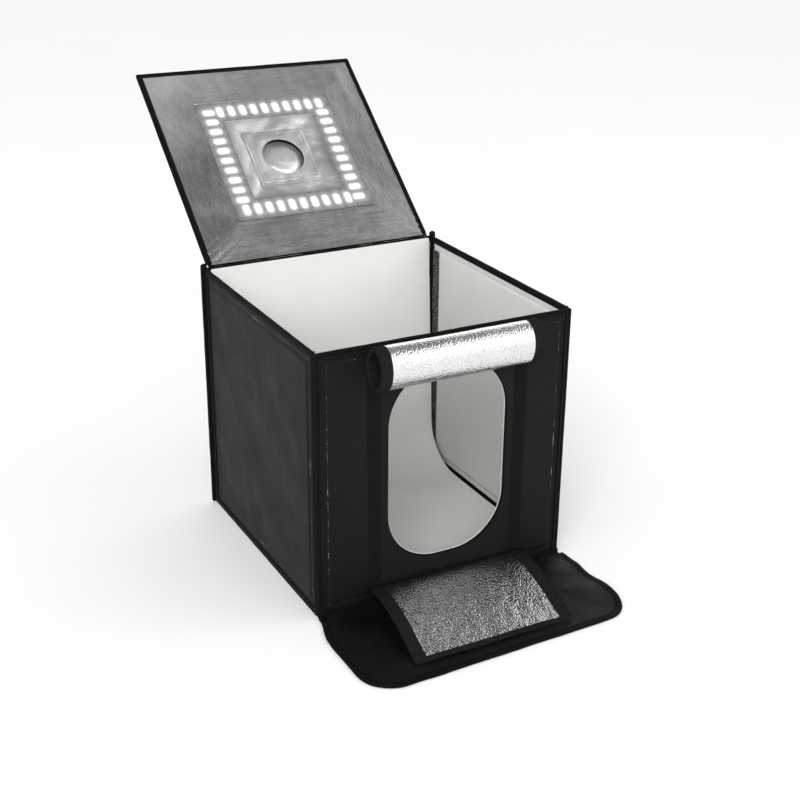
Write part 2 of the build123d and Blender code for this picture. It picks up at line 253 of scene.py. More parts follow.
def inside_loop(points, loop):
    """True for each point inside a closed loop."""
    x, y = points[:, 0, None], points[:, 1, None]
    x0, y0 = loop[:, 0], loop[:, 1]
    x1, y1 = np.roll(x0, -1), np.roll(y0, -1)
    rise = np.where(y1 == y0, 1e-12, y1 - y0)
    crossed = ((y0 > y) != (y1 > y)) & (x < (x1 - x0) * (y - y0) / rise + x0)
    return crossed.sum(axis=1) % 2 == 1


def near_loop(points, loop, reach):
    """True for each point closer than reach to a closed loop."""
    start, way = loop, np.roll(loop, -1, axis=0) - loop
    size = np.maximum((way ** 2).sum(axis=1), 1e-15)
    near = np.zeros(len(points), bool)
    for first in range(0, len(points), 4000):
        part = points[first:first + 4000, None, :] - start[None]
        share = np.clip((part * way).sum(axis=2) / size, 0, 1)
        gap = np.linalg.norm(part - share[..., None] * way, axis=2).min(axis=1)
        near[first:first + 4000] = gap < reach
    return near


def cut_cloth(loops, pitch, lines=()):
    """Triangles that fill the first loop except the others: (flat points, triangles)."""
    low, high = loops[0].min(axis=0), loops[0].max(axis=0)
    u, v = np.meshgrid(np.arange(low[0], high[0], pitch), np.arange(low[1], high[1], pitch * 0.866))
    u[1::2] += pitch / 2
    inner = np.stack([u.ravel(), v.ravel()], axis=1)
    for line in lines:
        inner = inner[~near_loop(inner, line, 0.5 * pitch)]
    inner = np.concatenate([inner, *lines]) if len(lines) else inner
    keep = inside_loop(inner, loops[0])
    for loop in loops[1:]:
        keep &= ~inside_loop(inner, loop)
    inner = inner[keep]
    for loop in loops:
        inner = inner[~near_loop(inner, loop, 0.45 * pitch)]
    flat, edges, start = [], [], 0
    for loop in loops:
        count = len(loop)
        edges += [(start + n, start + (n + 1) % count) for n in range(count)]
        flat += loop.tolist()
        start += count
    flat += inner.tolist()
    result = geometry.delaunay_2d_cdt([Vector(p) for p in flat], edges, [], 0, 1e-7)
    flat = np.array([tuple(p) for p in result[0]])
    triangles = np.array([f for f in result[2] if len(f) == 3])
    middle = flat[triangles].mean(axis=1)
    keep = inside_loop(middle, loops[0])
    for loop in loops[1:]:
        keep &= ~inside_loop(middle, loop)
    return flat, triangles[keep]


def cloth(name, node, slot, loops, pitch, place, height, thick, looks, body=None, lines=()):
    """A closed thin cloth over flat loops, laid at a height off its place, that stands for a node."""
    flat, triangles = cut_cloth(loops, pitch, lines)
    used, triangles = np.unique(triangles, return_inverse=True)
    flat, triangles = flat[used], triangles.reshape(-1, 3)
    rise = height(flat[:, 0], flat[:, 1]) if callable(height) else np.full(len(flat), height)
    top = place(flat[:, 0], flat[:, 1], rise + thick / 2)
    bottom = place(flat[:, 0], flat[:, 1], rise - thick / 2)
    count = len(flat)
    pairs = np.concatenate([triangles[:, [0, 1]], triangles[:, [1, 2]], triangles[:, [2, 0]]])
    known = {(int(a), int(b)) for a, b in pairs}
    rim = [(a, b) for a, b in known if (b, a) not in known]
    rim.sort()
    faces = triangles.tolist() + (triangles[:, ::-1] + count).tolist()
    faces += [(a, a + count, b + count, b) for a, b in rim]
    last = len(looks) - 1
    sides = [0] * len(triangles) + [last] * len(triangles) + [last] * len(rim)
    piece = made(name, np.concatenate([top, bottom]), faces, looks, body, sides)
    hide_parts(node)
    return piece


def grid_faces(rows, columns, closed):
    """Quads over a tube of points: rows along it, columns round it."""
    faces = []
    for r in range(rows if closed else rows - 1):
        s = (r + 1) % rows
        for c in range(columns):
            d = (c + 1) % columns
            faces.append((r * columns + c, r * columns + d, s * columns + d, s * columns + c))
    return faces


def tube(points, closed):
    """Points and faces of a tube through rings of points, its ends closed with a centre point."""
    rows, columns = points.shape[:2]
    flat = points.reshape(-1, 3)
    faces = grid_faces(rows, columns, closed)
    if closed:
        return flat, faces
    flat = np.concatenate([flat, points[0].mean(axis=0)[None], points[-1].mean(axis=0)[None]])
    first, last = rows * columns, rows * columns + 1
    for c in range(columns):
        d = (c + 1) % columns
        faces.append((first, d, c))
        faces.append((last, (rows - 1) * columns + c, (rows - 1) * columns + d))
    return flat, faces


def joined_tubes(parts):
    """Several tubes as one list of points and one list of faces."""
    points, faces, start = [], [], 0
    for part_points, part_faces in parts:
        points.append(part_points)
        faces += [tuple(start + i for i in face) for face in part_faces]
        start += len(part_points)
    return np.concatenate(points), faces


def trim(name, nodes, parts, look, body):
    """One piece made of tubes, which stands for its nodes."""
    points, faces = joined_tubes(parts)
    piece = made(name, points, faces, [look], body)
    if nodes:
        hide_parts(*nodes)
    return piece


BINDING_THREAD = 7.95 * MM  # the binding's thread lies this far in from the edge
BINDING_GROOVE = 2.36 * MM  # and this far off the wall's middle
# The edge binding's section: how far in from the edge, and how far off the wall's middle.
BINDING_SIDE = (
    (0.25, 1.25), (0.9, 2.1), (2.0, 2.65), (3.6, 2.86), (5.6, 2.84), (7.2, 2.70),
    (7.7, 2.38), (8.2, 2.36), (8.7, 2.66), (9.4, 2.60), (9.85, 2.25), (10.0, 1.5),
)


def tape_tube(place, u, v, t, along="v", step=6 * MM, seed=0, end=1.2 * MM):
    """A flat tape with soft edges between two values along each axis."""
    half_t = (t[1] - t[0]) / 2
    mid_t = (t[0] + t[1]) / 2
    wide, long = (u, v) if along == "v" else (v, u)
    half_w = (wide[1] - wide[0]) / 2
    mid_w = (wide[0] + wide[1]) / 2
    soft = min(half_t * 1.2, half_w / 3)
    section = [(half_w, 0), (half_w - 0.25 * soft, 0.7), (half_w - soft, 1)]
    section += [(half_w * x, 1) for x in (0.5, 0, -0.5)]
    section += [(-half_w + soft, 1), (-half_w + 0.25 * soft, 0.7), (-half_w, 0)]
    section += [(x, -y) for x, y in section[-2:0:-1]]
    section = np.array(section)
    count = max(3, int((long[1] - long[0]) / step))
    run = np.linspace(long[0], long[1], count)
    near = np.array((0, 0.3 * end, end))
    run = np.concatenate([run[0] + near, run[1:-1], run[-1] - near[::-1]])
    thin = np.ones(len(run))
    thin[[0, 1, -2, -1]] = (0.35, 0.8, 0.8, 0.35)
    sway = 0.15 * MM * waves(run, run * 0, seed, 70 * MM, 12 * MM, 8)
    rings = []
    for w, h in section:
        across = mid_w + w + sway
        level = mid_t + half_t * h * thin
        if along == "v":
            rings.append(place(across, run, level))
        else:
            rings.append(place(run, across, level))
    return tube(np.stack(rings, axis=1), False)


def stitch_parts(place, line, level, length=2.6 * MM, gap=1.5 * MM, thick=0.32 * MM, closed=True):
    """Thread stitches along a flat line, each a short raised loop, at a level or a function's level."""
    if closed:
        line = np.concatenate([line, line[:1]])
    run = np.concatenate([[0.0], np.cumsum(np.linalg.norm(np.diff(line, axis=0), axis=1))])
    count = max(1, int(run[-1] / (length + gap)))
    starts = (np.arange(count) + 0.2) * run[-1] / count
    parts = []
    for start in starts:
        s = start + length * np.array((0, 0.18, 0.5, 0.82, 1))
        u, v = np.interp(s, run, line[:, 0]), np.interp(s, run, line[:, 1])
        way = np.array((u[-1] - u[0], v[-1] - v[0]))
        way = way / max(np.linalg.norm(way), 1e-9)
        fat = thick * np.array((0.3, 0.85, 1, 0.85, 0.3))
        ground = level(u, v) if callable(level) else level
        rings = []
        for angle in np.arange(5) * 2 * pi / 5:
            side = fat * cos(angle)
            rings.append(place(u - way[1] * side, v + way[0] * side, ground + fat * (0.4 + sin(angle))))
        parts.append(tube(np.stack(rings, axis=1), False))
    return parts


# ----------------------------------------------------------------------- shader maths

class Socket:
    """A node's number output that takes part in Python expressions."""

    def __init__(self, shader, output):
        self.shader, self.output = shader, output

    def maths(self, operation, *others):
        inputs = dict(enumerate((self, *others)))
        return self.shader.node("ShaderNodeMath", {"operation": operation}, inputs)

    def __add__(self, other):
        return self.maths("ADD", other)

    __radd__ = __add__

    def __sub__(self, other):
        return self.maths("SUBTRACT", other)

    def __rsub__(self, other):
        return self.shader.node("ShaderNodeMath", {"operation": "SUBTRACT"}, {0: other, 1: self})

    def __mul__(self, other):
        return self.maths("MULTIPLY", other)

    __rmul__ = __mul__

    def __truediv__(self, other):
        return self.maths("DIVIDE", other)

    def __abs__(self):
        return self.maths("ABSOLUTE")

    def __neg__(self):
        return self * -1.0


class Shader:
    """A material under construction."""

    def __init__(self, name):
        self.material = bpy.data.materials.new(name)
        self.material.use_nodes = True
        self.tree = self.material.node_tree
        self.surface = self.tree.nodes["Principled BSDF"]

    def node(self, kind, settings=None, inputs=None, output=0):
        """One node: its settings, then the values or links of its sockets."""
        new = self.tree.nodes.new(kind)
        for name, value in (settings or {}).items():
            if name == "stops":
                ramp = new.color_ramp.elements
                for n, (position, colour) in enumerate(value):
                    stop = ramp[n] if n < 2 else ramp.new(position)
                    stop.position, stop.color = position, colour
            else:
                setattr(new, name, value)
        for key, value in (inputs or {}).items():
            self.fill(new.inputs[key], value)
        return Socket(self, new.outputs[output])

    def vector(self, operation, inputs, output=0):
        return self.node("ShaderNodeVectorMath", {"operation": operation}, inputs, output)

    def fill(self, socket, value):
        if isinstance(value, Socket):
            self.tree.links.new(value.output, socket)
        else:
            socket.default_value = value

    def here(self):
        """The point's place in the row's frame."""
        return self.node("ShaderNodeTexCoord", output="Object")

    def along(self, direction, origin=(0, 0, 0)):
        """How far the point lies along a direction from an origin, in metres."""
        offset = self.vector("SUBTRACT", {0: self.here(), 1: tuple(origin)})
        return self.vector("DOT_PRODUCT", {0: offset, 1: tuple(direction)}, "Value")

    def noise(self, pitch, detail=2.0, roughness=0.5, stretch=None):
        """Cloudy noise with features about as wide as pitch."""
        place = self.here()
        if stretch is not None:
            place = self.vector("MULTIPLY", {0: place, 1: stretch})
        inputs = {"Vector": place, "Scale": 1 / pitch, "Detail": detail, "Roughness": roughness}
        return self.node("ShaderNodeTexNoise", None, inputs)

    def cells(self, pitch, smoothness=0.35):
        """Rounded cells about as wide as pitch, 0 at their middles."""
        warp = self.node("ShaderNodeTexNoise", None, {"Vector": self.here(), "Scale": 0.5 / pitch}, "Color")
        warp = self.vector("SCALE", {0: warp, "Scale": 0.55 * pitch})
        place = self.vector("ADD", {0: self.here(), 1: warp})
        inputs = {"Vector": place, "Scale": 1 / pitch, "Smoothness": smoothness}
        return self.node("ShaderNodeTexVoronoi", {"feature": "SMOOTH_F1"}, inputs, "Distance")

    def ribs(self, direction, pitch):
        """Ridges across a direction, -1 to 1."""
        return (self.along(direction) * (2 * pi / pitch)).maths("SINE")

    def between(self, share, low, high):
        """A colour between two others, each three numbers or a socket."""
        low, high = (c if isinstance(c, Socket) else (*c, 1.0) for c in (low, high))
        return self.node("ShaderNodeMix", {"data_type": "RGBA"}, {0: share, 6: low, 7: high}, 2)

    def mapped(self, value, low, high, to_low=0.0, to_high=1.0):
        """A value's range mapped to another with soft ends."""
        inputs = {0: value, 1: low, 2: high, 3: to_low, 4: to_high}
        return self.node("ShaderNodeMapRange", {"interpolation_type": "SMOOTHSTEP"}, inputs)

    def bump(self, height, depth):
        """The surface's normal bent by a height, whose 1 is depth metres."""
        return self.node("ShaderNodeBump", None, {"Height": height, "Distance": depth}, "Normal")

    def finish(self, **sockets):
        """Set the surface's sockets by name, with _ for a space."""
        for name, value in sockets.items():
            self.fill(self.surface.inputs[name.replace("_", " ")], value)
        return self.material


class Sky(Shader):
    """The light from all round."""

    def __init__(self, name):
        self.material = bpy.data.worlds.new(name)
        self.material.use_nodes = True
        self.tree = self.material.node_tree
        self.surface = self.tree.nodes["Background"]


_finishes = {}


def finish(name):
    """The finish with that name, made once."""
    if name not in _finishes:
        _finishes[name] = FINISHES[name]("tent_" + name)
    return _finishes[name]


WEAVE_PITCH = 1.1 * MM


def weave(shader):
    """A plain weave's height on a surface that faces along any axis."""
    x, y, z = (shader.ribs(way, WEAVE_PITCH) for way in ((1, 0, 0), (0, 1, 0), (0, 0, 1)))
    return x * z + y * z + x * y


def nylon(name, base=(0.0046, 0.0046, 0.0050), raised=(0.0088, 0.0088, 0.0096), cloud_pitch=0.055):
    """Thin woven black cloth, a little dusty."""
    shader = Shader(name)
    broad = shader.noise(cloud_pitch, 3.0, 0.6)
    fine = shader.noise(0.0022, 2.0, 0.6)
    dust = shader.mapped(shader.noise(0.0045, 2.0, 0.7), 0.66, 0.74)
    shade = shader.between(broad * 0.75 + fine * 0.35, base, raised)
    shade = shader.between(dust * 0.05, shade, (0.10, 0.10, 0.10))
    height = weave(shader) * 0.5 + fine + broad * 1.5
    return shader.finish(
        Base_Color=shade,
        Roughness=shader.mapped(broad, 0.3, 0.7, 0.44, 0.54),
        Normal=shader.bump(height, 0.00012),
        Specular_IOR_Level=0.075,
    )


def apron_nylon(name):
    return nylon(name, (0.0032, 0.0032, 0.0036), (0.0062, 0.0062, 0.0068), 0.05)


def binding(name):
    """Ribbed black edge tape, rubbed in places."""
    shader = Shader(name)
    rub = shader.noise(0.018, 3.0, 0.6)
    fuzz = shader.noise(0.0009, 2.0, 0.7)
    ribs = shader.ribs((1, 0, 0), 0.0016) + shader.ribs((0, 1, 0), 0.0016) + shader.ribs((0, 0, 1), 0.0016)
    shade = shader.between(rub * 0.7 + fuzz * 0.3, (0.0028, 0.0028, 0.003), (0.0065, 0.0065, 0.007))
    return shader.finish(
        Base_Color=shade,
        Roughness=shader.mapped(rub, 0.3, 0.7, 0.62, 0.74),
        Normal=shader.bump(ribs * 0.4 + fuzz * 1.2, 0.00014),
        Specular_IOR_Level=0.045,
    )


def pile_tape(name, low, high, pitch, tufts):
    """The pile of a hook or loop tape, with a share of pale tufts."""
    shader = Shader(name)
    pile = shader.noise(pitch, 3.0, 0.75)
    broad = shader.noise(0.012, 2.0, 0.5)
    shade = shader.between(shader.mapped(pile, 0.40, 0.62), low, high)
    tufted = shader.mapped(pile * 0.7 + broad * 0.3, 0.58, 0.70) * tufts
    shade = shader.between(tufted, shade, (0.30, 0.30, 0.29))
    return shader.finish(
        Base_Color=shade,
        Roughness=0.92,
        Normal=shader.bump(pile + broad * 0.4, 0.0006),
        Specular_IOR_Level=0.05,
    )


def loop_tape(name):
    return pile_tape(name, (0.0035, 0.0035, 0.004), (0.010, 0.010, 0.011), 0.0010, 0.05)


def hook_tape(name):
    return pile_tape(name, (0.006, 0.006, 0.007), (0.016, 0.016, 0.017), 0.0014, 0.10)


def corner_hook_tape(name):
    return pile_tape(name, (0.007, 0.007, 0.007), (0.14, 0.14, 0.135), 0.0026, 0.5)


def lid_far(shader):
    """How far the point lies from the ring of lights' middle, and whether across or away from the hinge."""
    across = abs(shader.along((-1, 0, 0)))
    away = abs(shader.along(lid_v, ring_middle))
    return across.maths("MAXIMUM", away), shader.mapped(across - away, -0.006, 0.006)


def lid_silver(name):
    """Fine-grained metallised cloth, brushed along the lid's sides, with painted light in its colour: painted glow
    inside the ring of lights, painted highlight towards the free end and its left corner, and painted reflection in
    the streaks.
    """
    shader = Shader(name)
    far, beside = lid_far(shader)
    # Share of painted glow: inside the ring of lights the lining is painted paler, as if lit by the lights.
    inside = shader.mapped(far, 0.090, 0.060)
    # Painted light: the lining is painted lighter towards the lid's free end and towards the free end's left (-x)
    # corner, where the light falls on it.
    painted_light_free_end = shader.mapped(shader.along(lid_v, lid_axis), 0.20, 0.40)
    corner = shader.mapped(shader.along(lid_v - (1.0, 0, 0), lid_axis), 0.28, 0.56)
    grain = shader.cells(0.0019, 0.5)
    threads = shader.noise(0.0014, 3.0, 0.7)
    brushed_across = shader.noise(0.006, 3.0, 0.7, (0.10, 1.0, 1.0))
    brushed_away = shader.noise(0.006, 3.0, 0.7, (1.0, 0.3, 0.10))
    # The streaks are a real brushed texture in the bump, and their share of the colour is painted reflection along
    # the brushing.
    streak_and_glint = brushed_across + (brushed_away - brushed_across) * beside
    cloud = shader.noise(0.09, 3.0, 0.5)
    tone = shader.mapped(streak_and_glint * 0.24 + cloud * 0.16 + threads * 0.60, 0.38, 0.64)
    tone = tone * 0.42 + painted_light_free_end * 0.20 + corner * 0.55
    shade = shader.between(tone, (0.21, 0.21, 0.206), (0.78, 0.78, 0.77))
    # The paler colour inside the ring is painted glow from the lights, not a paler cloth.
    painted_glow_tone = shader.mapped(cloud * 0.8 + threads * 0.2, 0.36, 0.64)
    pale = shader.between(painted_glow_tone, (0.56, 0.56, 0.56), (0.84, 0.84, 0.835))
    shade = shader.between(inside, shade, pale)
    height = (1 - grain) * 0.9 + threads * 0.7 + streak_and_glint * 0.5 * (1 - inside)
    return shader.finish(
        Base_Color=shade,
        Metallic=0.92,
        Roughness=shader.mapped(threads * 0.5 + cloud * 0.5, 0.35, 0.65, 0.36, 0.46),
        Normal=shader.bump(height, 0.00045),
    )


def pebbled_silver(name, dark=(0.62, 0.62, 0.62), light=(0.86, 0.86, 0.86), smooth=0.14, rough=0.20,
                   depth=0.00027, pitch=0.0024):
    """Embossed mirror cloth with rounded pebbles, each pebble's top painted lighter as a painted highlight."""
    shader = Shader(name)
    pebbles = shader.cells(pitch, 0.25)
    fine = shader.noise(0.0009, 2.0, 0.6)
    cloud = shader.noise(0.04, 2.0, 0.5)
    dome_and_highlight = 1 - pebbles * pebbles * 1.8
    # The pebbles' tops are painted lighter: a painted highlight on each pebble, on top of their real bump.
    shade = shader.between(dome_and_highlight * 0.75 + cloud * 0.25, dark, light)
    return shader.finish(
        Base_Color=shade,
        Metallic=1.0,
        Roughness=shader.mapped(cloud * 0.6 + fine * 0.4, 0.3, 0.7, smooth, rough),
        Normal=shader.bump(dome_and_highlight + fine * 0.15 + cloud, depth),
    )


def flap_silver(name):
    return pebbled_silver(name, (0.26, 0.26, 0.26), (0.62, 0.62, 0.625), 0.20, 0.28, 0.00068, 0.0029)


def lining(name, low, high, rough):
    """Pale woven cloth with a few faint marks."""
    shader = Shader(name)
    cloud = shader.noise(0.07, 3.0, 0.5)
    fine = shader.noise(0.0016, 2.0, 0.6)
    mark = shader.mapped(shader.noise(0.006, 2.0, 0.8), 0.74, 0.80)
    shade = shader.between(cloud * 0.7 + fine * 0.3, low, high)
    shade = shader.between(mark * 0.10, shade, (0.30, 0.30, 0.29))
    return shader.finish(
        Base_Color=shade,
        Roughness=shader.mapped(cloud, 0.3, 0.7, rough - 0.06, rough + 0.06),
        Normal=shader.bump(weave(shader) * 0.25 + fine * 0.8 + cloud, 0.00016),
        Specular_IOR_Level=0.30,
    )


def white_lining(name):
    return lining(name, (0.52, 0.525, 0.505), (0.60, 0.605, 0.585), 0.55)


def backdrop_sheet(name):
    return lining(name, (0.68, 0.685, 0.66), (0.76, 0.765, 0.745), 0.48)


def light_boards(name):
    """Pale circuit board with faint tracks."""
    shader = Shader(name)
    tracks = shader.mapped(abs(shader.ribs((1, 0, 0), 0.009)), 0.90, 0.97)
    shade = shader.between(tracks * 0.4 + shader.noise(0.004) * 0.3, (0.78, 0.79, 0.78), (0.60, 0.62, 0.60))
    return shader.finish(Base_Color=shade, Roughness=0.45)


def light_face(name):
    """A lit light."""
    shader = Shader(name)
    glow = shader.between(shader.noise(0.004), (1.0, 0.98, 0.95), (1.0, 1.0, 1.0))
    return shader.finish(Base_Color=(0.9, 0.9, 0.88, 1), Roughness=0.4, Emission_Color=glow,
                         Emission_Strength=3.0)


def nearest_light(shader):
    """Distance from the point to the edge of the nearest light, in metres, in the plane of the lid."""
    across = shader.along((-1, 0, 0))
    away = shader.along(lid_v, ring_middle)
    nearest = None
    for a, b in ((across, away), (away, -across), (-across, -away), (-away, across)):
        place = (LIGHT_ROW - b) / LIGHT_PITCH
        place = (place + 0.5).maths("FLOOR").maths("MAXIMUM", 0.0).maths("MINIMUM", LIGHTS_PER_ROW - 1.0)
        side = (abs(a - LIGHT_ROW) - (GLOW_HALF[0] - GLOW_ROUND)).maths("MAXIMUM", 0.0)
        length = abs(b - (LIGHT_ROW - place * LIGHT_PITCH)) - (GLOW_HALF[1] - GLOW_ROUND)
        length = length.maths("MAXIMUM", 0.0)
        gap = (side * side + length * length).maths("SQRT") - GLOW_ROUND
        nearest = gap if nearest is None else nearest.maths("MINIMUM", gap)
    return nearest


LIGHTS_PER_ROW = 10
LIGHT_ROW = 0.0985
LIGHT_PITCH = 2 * LIGHT_ROW / LIGHTS_PER_ROW
GLOW_HALF = (0.0086, 0.0040)
GLOW_ROUND = 0.0034


def diffuser(name):
    """Milky film that glows over each light."""
    shader = Shader(name)
    gap = nearest_light(shader)
    uneven = shader.noise(0.006, 3.0, 0.6)
    core = shader.mapped(gap + (uneven - 0.5) * 0.0040, 0.0044, -0.0036)
    halo = (gap.maths("MAXIMUM", 0.0) * -150.0).maths("EXPONENT")
    glow = core * 0.78 + halo * 0.34 * (0.4 + uneven * 1.2)
    grain = shader.cells(0.0021, 0.5)
    shade = shader.between(uneven, (0.11, 0.112, 0.114), (0.19, 0.193, 0.196))
    light = shader.between(glow, (0.0, 0.0, 0.0), (1.0, 1.0, 0.985))
    return shader.finish(
        Base_Color=shade,
        Roughness=shader.mapped(uneven, 0.3, 0.7, 0.34, 0.46),
        Metallic=0.35,
        Emission_Color=light,
        Emission_Strength=1.35,
        Normal=shader.bump((1 - grain) * 0.6 + uneven * 1.4, 0.00035),
    )


def foam(name):
    shader = Shader(name)
    pores = shader.cells(0.0012)
    shade = shader.between(pores, (0.06, 0.06, 0.06), (0.02, 0.02, 0.02))
    return shader.finish(Base_Color=shade, Roughness=0.95, Normal=shader.bump(pores, 0.0003))


def flecked(pitch, detail, dark, light, roughness, metallic=0.0, depth=None):
    """A finish that varies finely between two colours."""
    def build(name):
        shader = Shader(name)
        flecks = shader.noise(pitch, detail, 0.6)
        if depth:
            shader.finish(Normal=shader.bump(flecks, depth))
        return shader.finish(
            Base_Color=shader.between(flecks, dark, light), Metallic=metallic, Roughness=roughness)
    return build


def studio_floor(name):
    shader = Shader(name)
    pale = bpy.context.scene.tent_colours.floor
    shade = shader.between(shader.noise(0.6, 2.0, 0.5), pale, [c + 0.02 for c in pale])
    return shader.finish(Base_Color=shade, Roughness=0.9)


FINISHES = {f.__name__: f for f in (
    nylon, apron_nylon, binding, loop_tape, hook_tape, corner_hook_tape, lid_silver, pebbled_silver,
    flap_silver, white_lining, backdrop_sheet, light_boards, light_face, diffuser, foam, studio_floor,
)}
FINISHES.update(
    board=flecked(0.003, 3.0, (0.42, 0.42, 0.42), (0.56, 0.56, 0.55), 0.7),
    moulded=flecked(0.0008, 2.0, (0.012, 0.012, 0.013), (0.024, 0.024, 0.026), 0.38, depth=0.00005),
    plated=flecked(0.0006, 2.0, (0.55, 0.54, 0.50), (0.75, 0.74, 0.70), 0.28, metallic=1.0),
    lead=flecked(0.002, 2.0, (0.02, 0.02, 0.02), (0.035, 0.035, 0.035), 0.5),
    thread=flecked(0.0007, 2.0, (0.010, 0.010, 0.011), (0.030, 0.030, 0.032), 0.6),
    pale_thread=flecked(0.0007, 2.0, (0.08, 0.08, 0.08), (0.20, 0.20, 0.195), 0.6),
)


# --------------------------------------------------------------------- sizes and colours

def length(name, description, default):
    return bpy.props.FloatProperty(name=name, description=description, default=default, unit="LENGTH")


def colour(name, description, default):
    return bpy.props.FloatVectorProperty(
        name=name, description=description, subtype="COLOR", default=default, min=0, max=1)


class TentSizes(bpy.types.PropertyGroup):
    cloth: length("Cloth", "Thickness of a wall's cloth", 0.8 * MM)
    seam: length("Seam", "Seam round a wall's board, in from the wall's edge", 18 * MM)
    board_edge: length("Board edge", "Edge of a wall's board, in from the wall's edge", 21 * MM)
    sag: length("Slack", "How far the outer cloth stands off its board", 1.7 * MM)
    pitch: length("Mesh pitch", "Spacing of the points in a wall's cloth", 7 * MM)
    window_radius: length("Window radius", "Radius of the window's corners", 80 * MM)
    window_edging: length("Window edging", "Width of the window's edging", 4 * MM)
    port_radius: length("Port radius", "Radius of the port in the lid", 35 * MM)
    film_rise: length("Film rise", "Height of the lining where it meets the film", 5.6 * MM)
    film_inner: length("Film inside", "Half the inside of the ring of film", 79 * MM)
    backdrop_bend: length("Backdrop bend", "Radius at the foot of the backdrop", 75 * MM)
    backdrop_foot: length("Backdrop foot", "How far the hanging sheet leans forward", 24 * MM)
    roll_turns: bpy.props.FloatProperty(name="Roll turns", description="Turns in the rolled flap", default=1.9)
    roll_step: length("Roll step", "How much each turn lies inside the last", 3.6 * MM)
    roll_border: length("Roll border", "Width of the black border at each end", 16 * MM)
    flap_arch: length("Flap arch", "How far the lower flap arches up off its straight line", 13 * MM)
    flap_border: length("Flap border", "Width of the lower flap's border", 20 * MM)
    flap_skew: bpy.props.FloatProperty(
        name="Flap skew", description="Sideways slip of the lower flap for each unit of its length", default=-0.085)
    apron_radius: length("Apron corner", "Radius of the apron's front corners", 52 * MM)
    apron_puff: length("Apron puff", "How far the apron's top cloth puffs up", 3.2 * MM)


class TentColours(bpy.types.PropertyGroup):
    floor: colour("Floor", "Colour of the studio floor", (0.9, 0.9, 0.9))
    studio: colour("Studio", "Colour of the light from all round", (1, 1, 1))


def sizes():
    return bpy.context.scene.tent_sizes


def span(node, place):
    """A node's extent along a place's three axes."""
    reach = corners_of(node) - place.origin
    return [(float((reach @ way).min()), float((reach @ way).max())) for way in (place.u, place.v, place.t)]


def full(place, inset=0.0):
    return rectangle(inset, place.width - inset, inset, place.height - inset)


CLOTH_INSET = 8.6 * MM  # a wall's cloth starts this far in, under the lip of its binding
SEAM_LINES = tuple(x * MM for x in (12.5, 16.4, 17.3, 18.0, 18.7, 19.6, 20.6, 21.6, 22.8, 24.5))


def pocket_height(place, seam_level, board_level, slack, seed, lean):
    """A wall's cloth: sewn down along its seam, then over the edge of the board."""
    size = sizes()

    def height(u, v):
        gap = np.minimum(np.minimum(u, place.width - u), np.minimum(v, place.height - v))
        over_board = smooth_step(gap, size.seam + 0.8 * MM, size.board_edge + 1.6 * MM)
        groove = np.exp(-((gap - size.seam) / (0.8 * MM)) ** 2)
        folds = waves(u, v, seed, 0.24, 0.09, 9, lean, 0.8)
        folds = folds + 0.30 * waves(u, v, seed + 1, 0.10, 0.035, 9, lean, 1.6)
        pucker = waves(u, v, seed + 2, 0.030, 0.012, 10)
        middle = smooth_step(gap, size.board_edge, size.board_edge + 45 * MM)
        side = np.sign(board_level - seam_level)
        rise = slack * (0.50 + 0.50 * np.clip(folds, -1, 1)) * (0.25 + 0.75 * middle)
        level = seam_level + (board_level - seam_level) * over_board
        level = level + side * rise * over_board
        level = level + side * 0.16 * MM * pucker * (1 - over_board) - side * 0.5 * MM * groove
        return level

    return height


def wall_cloth(name, side, slot, levels, slack, seed, lean):
    """One layer of a wall's cloth, sewn into the binding."""
    size = sizes()
    place = wall_place(name)
    step = size.pitch
    loops = [edge_line(full(place), CLOTH_INSET, CLOTH_INSET + MM, step)]
    lines = [edge_line(full(place), inset, inset + 0.5 * MM, step * 0.8, 2) for inset in SEAM_LINES]
    if name == "front":
        loops.append(window_line(place, 1.2 * MM if side == "skin" else -0.9 * MM, step * 0.7))
    height = pocket_height(place, *levels, slack, seed, lean)
    return cloth(name + "_" + side + "_cloth", name + "_" + side, slot, loops, step, place, height,
                 size.cloth, [slot], WALL_BODY[name], lines)


def window_rectangle(place):
    """The window's opening on the front wall, inside its edging."""
    (u0, u1), (v0, v1), _ = span("window_edging", place)
    edging = sizes().window_edging
    return rectangle(u0 + edging, u1 - edging, v0 + edging, v1 - edging)


def window_line(place, grow, step):
    return edge_line(window_rectangle(place), -grow, sizes().window_radius, step, 22)


SKIN_LEVELS = (3.45 * MM, 4.95 * MM)  # along the seam and over the board
LINING_LEVELS = (2.50 * MM, 1.05 * MM)
BASE_SKIN_LEVELS = (5.55 * MM, 5.60 * MM)
BASE_LINING_LEVELS = (2.20 * MM, 1.75 * MM)
WALL_FOLDS = {  # each wall's seed, and the lean of its folds
    "left": (11, -0.55), "right": (23, 0.5), "back": (37, 0.2), "front": (41, 0.1), "base": (53, 0.0)}
FRONT_SLACK = 0.55  # the front wall's share of the others' slack
LINING_SLACK = 0.35 * MM


class TENT_OT_walls(bpy.types.Operator):
    """Sew the inner and outer cloth of the four walls and the base round their boards"""
    bl_idname = "tent.walls"
    bl_label = "Wall cloth"

    def execute(self, context):
        size = sizes()
        for name, (seed, lean) in WALL_FOLDS.items():
            grounded = name == "base"
            skin_levels = BASE_SKIN_LEVELS if grounded else SKIN_LEVELS
            lining_levels = BASE_LINING_LEVELS if grounded else LINING_LEVELS
            slack = 0.0 if grounded else size.sag * (FRONT_SLACK if name == "front" else 1.0)
            place = wall_place(name)
            for side, slot, levels, loose, first in (
                ("skin", "nylon", skin_levels, slack, seed),
                ("lining", "white_lining", lining_levels, LINING_SLACK, seed + 5),
            ):
                piece = wall_cloth(name, side, slot, levels, loose, first, lean)
        return {"FINISHED"}


